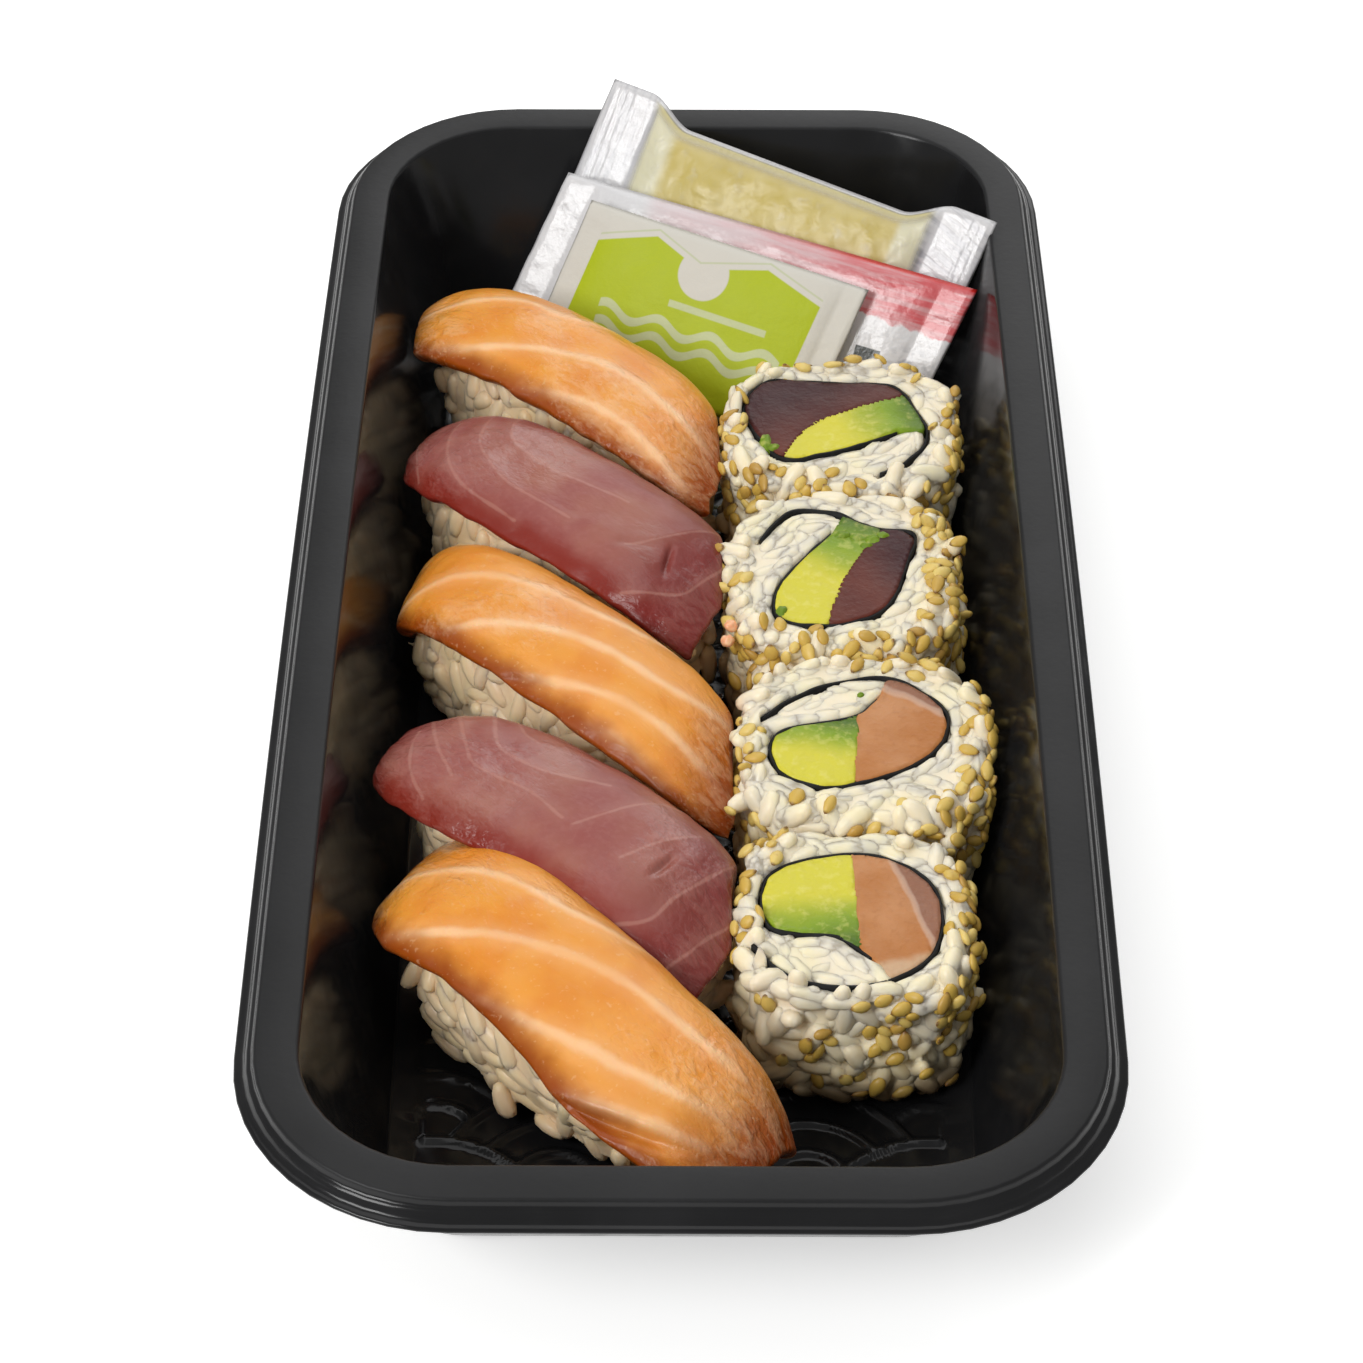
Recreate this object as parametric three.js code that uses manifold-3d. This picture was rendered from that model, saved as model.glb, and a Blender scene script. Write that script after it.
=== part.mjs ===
// Takeaway sushi tray: a black formed tray holding five nigiri, four rolls and three sachets.
// Millimetres, +Z up. The origin is on the table under the middle of the tray, +Y is its back.

import * as THREE from 'three';
import { mergeVertices } from 'three/addons/utils/BufferGeometryUtils.js';
import Module from 'manifold-3d';

const wasm = await Module();
wasm.setup();

// ---- driving dimensions ----

const gap = 0.3;                 // clearance between neighbouring pieces
const sliver = 0.1;              // detail finer than this is dropped
const tray = {
  halfX: 52, halfY: 114.6,       // to the shoulder of the rim
  corner: 24.7,                  // corner radius of that shoulder
  bow: 0.9,                      // how far the long sides stand out at their middle
  flange: 5.5,                   // width of the flat sealing flange
  lip: 2.5,                      // how far the outer lip stands out beyond the shoulder
  depth: 28,                     // rim to floor, inside
  floorInsetX: 14.5,             // shoulder to the edge of the floor, at the long sides
  floorInsetY: 18,               // and at the ends
  sheet: 0.8,                    // thickness of the formed sheet
  footHeight: 1.6,
};
const foot = { x: 35.2, y: 84.9, width: 4.4, length: 17.4, corner: 1.4 };
const lug = { x: 35.7, y: 86, width: 1.2, length: 10, height: 1.2 };

const floorTop = tray.footHeight + tray.sheet;
const rimTop = floorTop + tray.depth;
const foodFloor = floorTop + gap;
const headroom = 30;             // of the free space over the rim

const grain = { length: 6.2, width: 2.4 };
const seed = { length: 3.1, width: 1.9, thickness: 1.0 };

// Nigiri, back to front. Each slice has its middle, its turn about Z, its size as cut, its height
// over the floor, how far it bends down at each edge, how its ends narrow, how slanting they are
// cut, and how far it curves sideways.
const nigiri = [
  { name: 'salmon_back', fish: 'salmon', x: -16.6, y: 55.3, turn: -41, length: 68, width: 25, top: 24.4,
    drop: { left: 52, right: 40, near: 40, far: 80 }, narrow: [0.9, 0.8], slant: -0.45, arc: -3 },
  { name: 'tuna_back', fish: 'tuna', x: -17.3, y: 22, turn: -41, length: 64, width: 25.5, top: 24.7,
    drop: { left: 50, right: 42, near: 52, far: 52 }, narrow: [0.86, 0.5], slant: -0.22, arc: 0 },
  { name: 'salmon_middle', fish: 'salmon', x: -17.4, y: -7.7, turn: -43.5, length: 77, width: 25, top: 24.5,
    drop: { left: 85, right: 48, near: 50, far: 85 }, narrow: [0.88, 0.7], slant: -0.6, arc: 0 },
  { name: 'tuna_front', fish: 'tuna', x: -15, y: -43.8, turn: -40.5, length: 64.5, width: 27, top: 24.8,
    drop: { left: 40, right: 42, near: 58, far: 62 }, narrow: [0.93, 0.5], slant: -0.12, arc: -2.6 },
  { name: 'salmon_front', fish: 'salmon', x: -13.6, y: -73.4, turn: -50, length: 78, width: 27, top: 25.2,
    drop: { left: 57, right: 50, near: 55, far: 85 }, narrow: [0.3, 0.62], slant: -0.25, arc: 1.2 },
];
const slice = { thickness: 5.5, rim: 2.6 };
const riceBlock = { length: 52, width: 20, turn: -41 };
const fingerGrains = 9;

// Rolls, back to front, with the nori spiral as a curve through a few points of the cut face, and
// the curve that parts the avocado from the fish.
const rollHeight = 20.4;
const rollGrains = { side: 10, face: 5, seeds: 8 };
const noriThickness = 0.5;
const rolls = [
  {
    name: 'back', fish: 'tuna', x: 23.1, y: 42, halfX: 17.7, halfY: 15.5,
    nori: [[8.3, -1.8], [0.2, -6.1], [-8.5, -8], [-12.4, -2.8], [-14.4, 4], [-11, 10.3], [-1.2, 9.9],
      [8.1, 9.1], [11.2, 3.5], [12.8, -2.5], [9.6, -8.9], [5.5, -11.6]],
    split: [[12, 8], [-3.6, 0.4], [-9.4, -9]],
  },
  {
    name: 'middle_back', fish: 'tuna', x: 22.5, y: 8.4, halfX: 16.7, halfY: 17.8,
    nori: [[-1.5, 8], [-5.7, 2.3], [-9.6, -5], [-9.1, -10.4], [-1.9, -11.8], [5.6, -8.4], [9.3, 1.9],
      [10.4, 8.3], [4.6, 9.5], [-0.5, 12.7], [-7, 13.2], [-11.6, 6.8]],
    split: [[-3, -14], [0.4, -1.5], [7, 11]],
  },
  {
    name: 'middle_front', fish: 'salmon', x: 24.6, y: -26.8, halfX: 17.5, halfY: 17.1,
    nori: [[1.9, 8], [-1, 4.6], [-12, 1], [-12.2, -5.4], [-6.5, -9.4], [1, -7.9], [9.7, -2], [11.2, 5.4],
      [3.6, 12.3], [-9, 8.7], [-14, 3.8]],
    split: [[-2, -12], [-1.2, -2], [-0.2, 12]],
  },
  {
    name: 'front', fish: 'salmon', x: 22.4, y: -59.8, halfX: 15.6, halfY: 15.6,
    nori: [[1.8, -8.2], [-2, -4.6], [-11.2, -2.5], [-10.9, 7], [2.4, 10.6], [10.4, 4.4], [9.8, -7.1],
      [2, -12.7], [-8.4, -11.7], [-13.4, -5.8]],
    split: [[0.9, -14], [0.2, 2], [-0.4, 13]],
  },
];

// Sachets, back to front: the left and right ends of the top edge, measured from the middle of
// the tray and from the rim, how far the face leans back from upright, its height in its own
// plane, how far its lower edge is shifted to the left, its thickness when filled, how much of its
// width is filled, and how far its top edge sags there.
const sachets = [
  { name: 'ginger', left: [-11.6, 111, 8], right: [48.1, 81, 1.5], lean: 36, height: 27, shift: 2,
    thickness: 7, filled: 0.74, sag: 3.5 },
  { name: 'soy', left: [-18.9, 99.4, -2], right: [44.8, 70.9, -4], lean: 37, height: 31, shift: 6,
    thickness: 4, filled: 0.84, sag: 0 },
  { name: 'wasabi', left: [-15, 91.5, -1.8], right: [28.1, 71.9, -4.8], lean: 38, height: 26, shift: 3,
    thickness: 3.6, filled: 0.84, sag: 0 },
];

// ---- small tools ----

// A repeatable random draw between 0 and 1.
function makeRandom(start) {
  let state = start;
  return () => {
    state = (state * 1664525 + 1013904223) % 4294967296;
    return state / 4294967296;
  };
}

function toSolid(geometry) {
  const plain = geometry.clone();
  plain.deleteAttribute('normal');
  plain.deleteAttribute('uv');
  const merged = mergeVertices(plain, 1e-4);
  const triVerts = Uint32Array.from(merged.index.array);
  const vertProperties = Float32Array.from(merged.attributes.position.array);
  return new wasm.Manifold(new wasm.Mesh({ numProp: 3, vertProperties, triVerts }));
}

function toGeometry(solid) {
  const mesh = solid.getMesh();
  const geometry = new THREE.BufferGeometry();
  geometry.setAttribute('position', new THREE.BufferAttribute(Float32Array.from(mesh.vertProperties), 3));
  geometry.setIndex(new THREE.BufferAttribute(Uint32Array.from(mesh.triVerts), 1));
  geometry.computeVertexNormals();
  return geometry;
}

// The largest body of a solid, without the loose scraps that cutting may leave, and without the
// sliver faces along its cuts.
function mainBody(solid) {
  const bodies = solid.decompose();
  const largest = bodies.reduce((best, body) => (body.volume() > best.volume() ? body : best));
  return largest.asOriginal().simplify(sliver);
}

// An upright prism over an outline of Vector2 points.
function prism(outline, bottom, top) {
  const settings = { depth: top - bottom, bevelEnabled: false };
  return new THREE.ExtrudeGeometry(new THREE.Shape(outline), settings).translate(0, 0, bottom);
}

function box(x0, x1, y0, y1, z0, z1) {
  const geometry = new THREE.BoxGeometry(x1 - x0, y1 - y0, z1 - z0);
  return geometry.translate((x0 + x1) / 2, (y0 + y1) / 2, (z0 + z1) / 2);
}

// A closed skin over a grid of points: rows join in order, and each row closes on itself.
// The first and the last row are closed by a fan to their middle.
function skin(rows) {
  const positions = [];
  const index = [];
  const count = rows[0].length;
  rows.forEach((row) => row.forEach((point) => positions.push(point.x, point.y, point.z)));
  for (let row = 0; row + 1 < rows.length; row += 1) {
    for (let i = 0; i < count; i += 1) {
      const next = (i + 1) % count;
      const a = row * count + i;
      const b = row * count + next;
      index.push(a, b, b + count, a, b + count, a + count);
    }
  }
  [rows[0], rows[rows.length - 1]].forEach((row, end) => {
    const middle = row.reduce((sum, point) => sum.add(point), new THREE.Vector3()).divideScalar(count);
    const centre = positions.length / 3;
    const first = end ? (rows.length - 1) * count : 0;
    positions.push(middle.x, middle.y, middle.z);
    for (let i = 0; i < count; i += 1) {
      const next = (i + 1) % count;
      index.push(centre, first + (end ? i : next), first + (end ? next : i));
    }
  });
  const geometry = new THREE.BufferGeometry();
  geometry.setAttribute('position', new THREE.Float32BufferAttribute(positions, 3));
  geometry.setIndex(index);
  return geometry;
}

// ---- tray ----

// One level of the tray: a rounded rectangle with bowed long sides, inset from the rim's shoulder.
function trayRing([insetX, insetY, z]) {
  const halfX = tray.halfX - insetX;
  const halfY = tray.halfY - insetY;
  const radius = tray.corner - insetX;
  const cornerSteps = 6;
  const sideSteps = 4;
  const points = [];
  const centres = [[1, 1], [-1, 1], [-1, -1], [1, -1]];
  centres.forEach(([sx, sy], quarter) => {
    for (let i = 0; i <= cornerSteps; i += 1) {
      const angle = (quarter + i / cornerSteps) * Math.PI / 2;
      const x = sx * (halfX - radius) + radius * Math.cos(angle);
      const y = sy * (halfY - radius) + radius * Math.sin(angle);
      points.push(new THREE.Vector3(x, y, z));
    }
    if (quarter % 2 === 1) {
      const end = sy * (halfY - radius);
      for (let i = 1; i < sideSteps; i += 1) {
        points.push(new THREE.Vector3(sx * halfX, end * (1 - 2 * i / sideSteps), z));
      }
    }
  });
  points.forEach((point) => {
    point.x += tray.bow * (point.x / halfX) * (1 - (point.y / halfY) ** 2);
  });
  return points;
}

// A level of the rim, with the same inset all round.
const rimLevel = (inset, z) => [inset, inset, z];

// A level of the inner wall, at a height over the floor and moved into the tray by some distance.
function wallLevel(height, inward) {
  const down = 1 - height / tray.depth;
  const insetX = tray.flange + (tray.floorInsetX - tray.flange) * down + inward;
  const insetY = tray.flange + (tray.floorInsetY - tray.flange) * down + inward;
  return [insetX, insetY, floorTop + height];
}

function traySolid() {
  const sheet = tray.sheet;
  const below = ([insetX, insetY, z], drop) => [insetX, insetY, z - drop];
  const levels = [
    below(wallLevel(0, 2.2), sheet),
    below(wallLevel(0.6, 0.2), sheet),
    wallLevel(2.8, -sheet),
    rimLevel(tray.flange - sheet, rimTop - sheet - 0.5),
    rimLevel(tray.flange - sheet - 0.5, rimTop - sheet),
    rimLevel(0.8, rimTop - sheet),
    rimLevel(0.2, rimTop - 2),
    rimLevel(-0.7, rimTop - 3.2),
    rimLevel(-tray.lip, rimTop - 3.3),
    rimLevel(-tray.lip, rimTop - 2.8),
    rimLevel(-tray.lip + 0.2, rimTop - 2.6),
    rimLevel(-1.3, rimTop - 2.4),
    rimLevel(-0.9, rimTop - 1.5),
    rimLevel(-0.3, rimTop - 1.2),
    rimLevel(0, rimTop - 0.4),
    rimLevel(0.5, rimTop),
    rimLevel(tray.flange - 0.3, rimTop),
    rimLevel(tray.flange + 0.1, rimTop - 0.4),
    wallLevel(3, 0),
    wallLevel(0.8, 0.4),
    wallLevel(0, 2.6),
  ];
  let solid = toSolid(skin(levels.map(trayRing)));
  const corners = [[1, 1], [1, -1], [-1, 1], [-1, -1]];
  corners.forEach(([sx, sy]) => {
    solid = solid.add(toSolid(footBlock(sx, sy, 0, 0, floorTop - 0.2)));
  });
  corners.forEach(([sx, sy]) => {
    solid = solid.subtract(toSolid(footBlock(sx, sy, sheet, sheet, floorTop + 1)));
    const x = sx * lug.x;
    const y = sy * lug.y;
    const halfWidth = lug.width / 2;
    const halfLength = lug.length / 2;
    const block = box(x - halfWidth, x + halfWidth, y - halfLength, y + halfLength, 0.3, sheet + lug.height);
    solid = solid.add(toSolid(block));
  });
  return solid;
}

// A rounded block at a corner of the floor: the foot itself, or with an inset the pocket inside it.
function footBlock(sx, sy, inset, bottom, top) {
  const halfWidth = foot.width / 2 - inset;
  const halfLength = foot.length / 2 - inset;
  const radius = Math.max(foot.corner - inset, 0.6);
  const outline = [];
  const quarters = [[1, 1], [-1, 1], [-1, -1], [1, -1]];
  quarters.forEach(([qx, qy], quarter) => {
    for (let i = 0; i <= 2; i += 1) {
      const angle = (quarter + i / 2) * Math.PI / 2;
      const x = qx * (halfWidth - radius) + radius * Math.cos(angle);
      const y = qy * (halfLength - radius) + radius * Math.sin(angle);
      outline.push(new THREE.Vector2(sx * foot.x + x, sy * foot.y + y));
    }
  });
  return prism(outline, bottom, top);
}

// The space that the food may fill, clear of the tray.
function freeSpace() {
  const wide = -10;                // an inset that reaches well out over the rim
  const levels = [
    wallLevel(gap, 2.8),
    wallLevel(3, gap * 1.5),
    rimLevel(tray.flange + 1.5 * gap, rimTop - 0.5),
    rimLevel(tray.flange + 0.2, rimTop + gap),
    rimLevel(wide, rimTop + gap),
    rimLevel(wide, rimTop + headroom),
  ];
  return toSolid(skin(levels.map(trayRing)));
}

// ---- rice ----

// A grain: a long rounded body of few faces, laid along a direction.
function grainAt(position, direction, size) {
  const geometry = new THREE.SphereGeometry(1, 5, 4);
  geometry.scale(size.width / 2, size.length / 2, (size.thickness ?? size.width) / 2);
  const turn = new THREE.Quaternion().setFromUnitVectors(new THREE.Vector3(0, 1, 0), direction);
  return geometry.applyQuaternion(turn).translate(position.x, position.y, position.z);
}

// A flat seed, lying against a surface with the given normal.
function seedAt(position, direction, normal) {
  const geometry = new THREE.SphereGeometry(1, 5, 3);
  geometry.scale(seed.width / 2, seed.length / 2, seed.thickness / 2);
  const across = new THREE.Vector3().crossVectors(direction, normal).normalize();
  const basis = new THREE.Matrix4().makeBasis(across, direction, normal);
  return geometry.applyMatrix4(basis).translate(position.x, position.y, position.z);
}

// A direction in the surface, turned at random about its normal.
function lyingDirection(normal, random) {
  const helper = Math.abs(normal.z) > 0.8 ? new THREE.Vector3(1, 0, 0) : new THREE.Vector3(0, 0, 1);
  const direction = new THREE.Vector3().crossVectors(normal, helper).normalize();
  return direction.applyAxisAngle(normal, random() * Math.PI);
}

// ---- nigiri ----

// A strip bent evenly away from its flat middle: where it is at u from -1 to 1 along itself.
function bend(u, half, dropBefore, dropAfter) {
  const steps = 12;
  let along = 0;
  let down = 0;
  const drop = THREE.MathUtils.degToRad(u < 0 ? dropBefore : dropAfter);
  for (let i = 0; i < steps; i += 1) {
    const angle = drop * ((i + 0.5) / steps * Math.abs(u)) ** 2.2;
    along += Math.cos(angle) * Math.abs(u) * half / steps;
    down += Math.sin(angle) * Math.abs(u) * half / steps;
  }
  return [Math.sign(u) * along, -down];
}

// A point of the slice's upper face: u runs along it and v across it, from -1 to 1.
function slicePoint(piece, u, v) {
  const taper = Math.max(0.02, 1 - piece.narrow[u < 0 ? 0 : 1] * Math.abs(u) ** 4) ** 0.5;
  const [x, dropX] = bend(u, piece.length / 2, piece.drop.left, piece.drop.right);
  const [y, dropY] = bend(v, piece.width / 2, piece.drop.near, piece.drop.far);
  const across = y * taper;
  const along = x + piece.slant * across * Math.abs(u) ** 1.5;
  return new THREE.Vector3(along, across + piece.arc * u * u, floorTop + piece.top + dropX + dropY * taper);
}

function sliceNormal(piece, u, v) {
  const step = 0.02;
  const alongU = slicePoint(piece, u + step, v).sub(slicePoint(piece, u - step, v));
  const alongV = slicePoint(piece, u, v + step).sub(slicePoint(piece, u, v - step));
  return alongU.cross(alongV).normalize();
}

// The slice of fish as a closed slab; grow thickens it on every side.
function sliceSlab(piece, grow = 0) {
  const alongSteps = 12;
  const acrossSteps = 6;
  const reachAlong = 0.985 + 2 * grow / piece.length;
  const reachAcross = 1 + 2 * grow / piece.width;
  const rows = [];
  for (let i = 0; i <= alongSteps; i += 1) {
    const u = reachAlong * (2 * i / alongSteps - 1);
    const upper = [];
    const lower = [];
    for (let j = 0; j <= acrossSteps; j += 1) {
      const v = reachAcross * (2 * j / acrossSteps - 1);
      const normal = sliceNormal(piece, u, v);
      const edge = Math.min(1, Math.max(Math.abs(u) ** 6, Math.abs(v) ** 3));
      const thickness = slice.thickness + (slice.rim - slice.thickness) * edge;
      const point = slicePoint(piece, u, v);
      upper.push(point.clone().addScaledVector(normal, grow));
      lower.push(point.clone().addScaledVector(normal, -thickness - grow));
    }
    rows.push([...upper, ...lower.reverse()]);
  }
  return skin(rows.map((row) => row.reverse()));
}

// The space that a slice keeps free: grown by the gap, also sideways where it curls.
function keepFree(piece) {
  const slab = toSolid(sliceSlab(piece));
  const clear = 1.5 * gap;
  const shifts = [[-clear, 0, 0], [clear, 0, 0], [0, -clear, 0], [0, clear, 0], [0, 0, -clear]];
  const grown = toSolid(sliceSlab(piece, gap + 2 * sliver));
  return wasm.Manifold.union([grown, ...shifts.map((shift) => slab.translate(...shift))]);
}

// The finger of rice under the slice, with grains standing out of its sides.
function riceFinger(piece, random) {
  const levels = [[0, 0.9], [2, 0.98], [10, 1], [17, 0.86], [22, 0.5]];
  const around = 16;
  const turn = THREE.MathUtils.degToRad(riceBlock.turn - piece.turn);
  const spin = new THREE.Vector3(0, 0, 1);
  const outline = (level, angle) => {
    const cos = Math.cos(angle);
    const sin = Math.sin(angle);
    const reach = (Math.abs(cos) ** 3 + Math.abs(sin) ** 3) ** (-1 / 3) * level;
    const point = new THREE.Vector3(cos * reach * riceBlock.length / 2, sin * reach * riceBlock.width / 2, 0);
    return point.applyAxisAngle(spin, turn);
  };
  const rows = levels.map(([z, level]) => {
    const row = [];
    for (let i = 0; i < around; i += 1) {
      row.push(outline(level, 2 * Math.PI * i / around).setZ(foodFloor + z));
    }
    return row;
  });
  const pieces = [toSolid(skin(rows))];
  for (let i = 0; i < fingerGrains; i += 1) {
    const angle = 2 * Math.PI * (i + 0.6 * random()) / fingerGrains;
    const z = foodFloor + 2.4 + (i % 3) * 4 + 1.5 * random();
    const point = outline(1, angle).setZ(z);
    const normal = new THREE.Vector3(Math.cos(angle) * riceBlock.width, Math.sin(angle) * riceBlock.length, 0)
      .normalize().applyAxisAngle(spin, turn);
    pieces.push(toSolid(grainAt(point, lyingDirection(normal, random), grain)));
  }
  return wasm.Manifold.union(pieces);
}

// ---- rolls ----

function noriCurve(roll, steps) {
  const points = roll.nori.map(([x, y]) => new THREE.Vector3(x, y, 0));
  const curve = new THREE.CatmullRomCurve3(points, false, 'centripetal');
  return curve.getSpacedPoints(steps).map((point) => new THREE.Vector2(point.x, point.y));
}

// The outline of a strip of some thickness laid along a line of points.
function stripOutline(line, thickness) {
  const left = [];
  const right = [];
  line.forEach((point, i) => {
    const before = line[Math.max(i - 1, 0)];
    const after = line[Math.min(i + 1, line.length - 1)];
    const along = after.clone().sub(before).normalize();
    const across = new THREE.Vector2(-along.y, along.x).multiplyScalar(thickness / 2);
    const spare = i === 0 || i === line.length - 1 ? (thickness - noriThickness) / 2 : 0;
    const shift = along.multiplyScalar(i === 0 ? -spare : spare);
    left.push(point.clone().add(across).add(shift));
    right.push(point.clone().sub(across).add(shift));
  });
  return [...left, ...right.reverse()];
}

// The nori's first full turn: from its inner end to where it passes that end again.
function firstTurn(line) {
  const half = Math.floor(line.length / 2);
  let closing = half;
  for (let i = half; i < line.length; i += 1) {
    if (line[i].distanceTo(line[0]) < line[closing].distanceTo(line[0])) closing = i;
  }
  return line.slice(0, closing + 1);
}

function insetOutline(outline, distance) {
  const turn = THREE.ShapeUtils.area(outline) > 0 ? 1 : -1;
  const count = outline.length;
  return outline.map((point, i) => {
    const along = outline[(i + 1) % count].clone().sub(outline[(i + count - 1) % count]).normalize();
    return new THREE.Vector2(point.x - turn * along.y * distance, point.y + turn * along.x * distance);
  });
}

// One side of the curve between the two fillings, out past the roll.
function fillingSide(roll, side) {
  const far = 40;
  const curve = new THREE.SplineCurve(roll.split.map(([x, y]) => new THREE.Vector2(x, y)));
  const line = curve.getPoints(6);
  const chord = line[line.length - 1].clone().sub(line[0]).normalize();
  const across = new THREE.Vector2(chord.y, -chord.x).multiplyScalar(side);
  const edge = line.map((point) => point.clone().addScaledVector(across, gap / 2));
  const start = edge[0].clone().addScaledVector(chord, -far);
  const end = edge[edge.length - 1].clone().addScaledVector(chord, far);
  const outer = [end.clone().addScaledVector(across, far), start.clone().addScaledVector(across, far)];
  const outline = [start, ...edge, end, ...outer];
  return prism(side > 0 ? outline.reverse() : outline, 0, rimTop);
}

// The outline of a roll's cut face, a rounded square, at an angle about its middle.
function rollOutline(roll, inset, angle) {
  const exponent = 3.4;
  const cos = Math.cos(angle);
  const sin = Math.sin(angle);
  const reach = (Math.abs(cos) ** exponent + Math.abs(sin) ** exponent) ** (-1 / exponent);
  return new THREE.Vector3(cos * reach * (roll.halfX - inset), sin * reach * (roll.halfY - inset), 0);
}

// The upright column that a roll may fill, or with a negative inset the column it keeps free.
function rollColumn(roll, inset, around) {
  const outline = [];
  for (let i = 0; i < around; i += 1) {
    const point = rollOutline(roll, inset, 2 * Math.PI * i / around);
    outline.push(new THREE.Vector2(point.x, point.y));
  }
  return toSolid(prism(outline, foodFloor, rimTop + headroom));
}

// Rice with grains on its sides and its cut face, and seeds on its sides.
function rollRice(roll, random) {
  const proud = 0.8;
  const around = 20;
  const top = foodFloor + rollHeight;
  const sideNormal = (angle) => {
    const along = rollOutline(roll, proud, angle + 0.05).sub(rollOutline(roll, proud, angle - 0.05));
    return new THREE.Vector3(along.y, -along.x, 0).normalize();
  };
  const levels = [[0, proud + 1], [1.4, proud], [rollHeight - 1.4, proud], [rollHeight, proud + 1]];
  const rows = levels.map(([z, inset]) => {
    const row = [];
    for (let i = 0; i < around; i += 1) {
      row.push(rollOutline(roll, inset, 2 * Math.PI * i / around).setZ(foodFloor + z));
    }
    return row;
  });
  const pieces = [toSolid(skin(rows))];
  const spread = 0.618;            // steps of this fraction fill a height evenly
  for (let i = 0; i < rollGrains.side; i += 1) {
    const angle = 2 * Math.PI * (i + 0.5 * random()) / rollGrains.side;
    const z = foodFloor + 2.6 + (rollHeight - 4.8) * ((i * spread) % 1);
    const normal = sideNormal(angle);
    const point = rollOutline(roll, proud, angle).setZ(z);
    pieces.push(toSolid(grainAt(point, lyingDirection(normal, random), grain)));
  }
  for (let i = 0; i < rollGrains.face; i += 1) {
    const angle = 2 * Math.PI * (i + 0.4 * random()) / rollGrains.face;
    const point = rollOutline(roll, 2.2, angle).setZ(top - 0.5);
    pieces.push(toSolid(grainAt(point, lyingDirection(new THREE.Vector3(0, 0, 1), random), grain)));
  }
  for (let i = 0; i < rollGrains.seeds; i += 1) {
    const angle = 2 * Math.PI * (i + 0.5 + 0.3 * random()) / rollGrains.seeds;
    const z = foodFloor + 3 + (rollHeight - 5) * ((i * spread + 0.5) % 1);
    const normal = sideNormal(angle);
    const point = rollOutline(roll, proud, angle).setZ(z).addScaledVector(normal, 0.2);
    pieces.push(toSolid(seedAt(point, lyingDirection(normal, random), normal)));
  }
  return wasm.Manifold.union(pieces).intersect(rollColumn(roll, 0, 32));
}

function rollParts(roll, random) {
  const top = foodFloor + rollHeight;
  const line = noriCurve(roll, 26);
  const turn = firstTurn(line);
  const nori = toSolid(prism(stripOutline(line, noriThickness), foodFloor, top));
  const slot = toSolid(prism(stripOutline(line, noriThickness + 2 * gap), 0, rimTop));
  const cavity = toSolid(prism(turn, 0, rimTop));
  const filling = toSolid(prism(insetOutline(turn, noriThickness / 2 + gap), foodFloor, top)).subtract(slot);
  return {
    rice: rollRice(roll, random).subtract(slot).subtract(cavity),
    nori,
    avocado: filling.intersect(toSolid(fillingSide(roll, -1))),
    fish: filling.intersect(toSolid(fillingSide(roll, 1))),
  };
}

// ---- sachets ----

// A sealed pillow hanging from its top edge: x runs along that edge, z up its face and y
// through it. Its ends are flat seals, and the middle is filled.
function sachetGeometry(sachet, width) {
  const wide = 10;
  const tall = 5;
  const seal = 0.8;
  const facePoint = (u, v, side) => {
    const filledAlong = Math.max(0, 1 - Math.abs(u / sachet.filled) ** 4);
    const filledUp = Math.max(0, 1 - Math.abs(v) ** 3);
    const half = seal / 2 + (sachet.thickness - seal) / 2 * (filledAlong * filledUp) ** 0.6;
    const shift = sachet.shift * (v - 1) / 2;
    const sag = sachet.sag * THREE.MathUtils.smoothstep(0.85 - Math.abs(u), 0.05, 0.3) * (1 + v) / 2;
    return new THREE.Vector3(u * width / 2 + shift, side * half, (v - 1) * sachet.height / 2 - sag);
  };
  const rows = [];
  for (let i = 0; i <= wide; i += 1) {
    const u = 2 * i / wide - 1;
    const front = [];
    const back = [];
    for (let j = 0; j <= tall; j += 1) {
      const v = 2 * j / tall - 1;
      front.push(facePoint(u, v, -1));
      back.push(facePoint(u, v, 1));
    }
    rows.push([...back, ...front.reverse()]);
  }
  return skin(rows);
}

// How a sachet lies: its middle, and its turn from the direction of its top edge and its lean.
function sachetMatrix(sachet, left, right) {
  const along = right.clone().sub(left).normalize();
  const lean = THREE.MathUtils.degToRad(sachet.lean);
  const behind = new THREE.Vector3(-along.y, along.x, 0).normalize();
  const up = behind.multiplyScalar(Math.sin(lean)).add(new THREE.Vector3(0, 0, Math.cos(lean)));
  up.addScaledVector(along, -up.dot(along)).normalize();
  const through = new THREE.Vector3().crossVectors(up, along);
  const middle = left.clone().add(right).multiplyScalar(0.5);
  return new THREE.Matrix4().makeBasis(along, through, up).setPosition(middle);
}

// ---- assembly ----

const object = new THREE.Group();

const finishes = {
  tray: { color: 0x2b2b2e, roughness: 0.35, metalness: 0 },
  rice: { color: 0xe4e2d6, roughness: 0.5, metalness: 0 },
  nori: { color: 0x1c2420, roughness: 0.6, metalness: 0 },
  avocado: { color: 0xb5c74a, roughness: 0.5, metalness: 0 },
  salmon: { color: 0xeb9a4f, roughness: 0.35, metalness: 0 },
  tuna: { color: 0x9c4a52, roughness: 0.35, metalness: 0 },
  ginger: { color: 0xc9c98a, roughness: 0.25, metalness: 0 },
  soy: { color: 0xe6dcdc, roughness: 0.3, metalness: 0 },
  wasabi: { color: 0xa9c83a, roughness: 0.35, metalness: 0 },
};

function addMesh(name, geometry, finish, parent) {
  const mesh = new THREE.Mesh(geometry, new THREE.MeshStandardMaterial(finishes[finish]));
  mesh.name = name;
  parent.add(mesh);
  return mesh;
}

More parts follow.
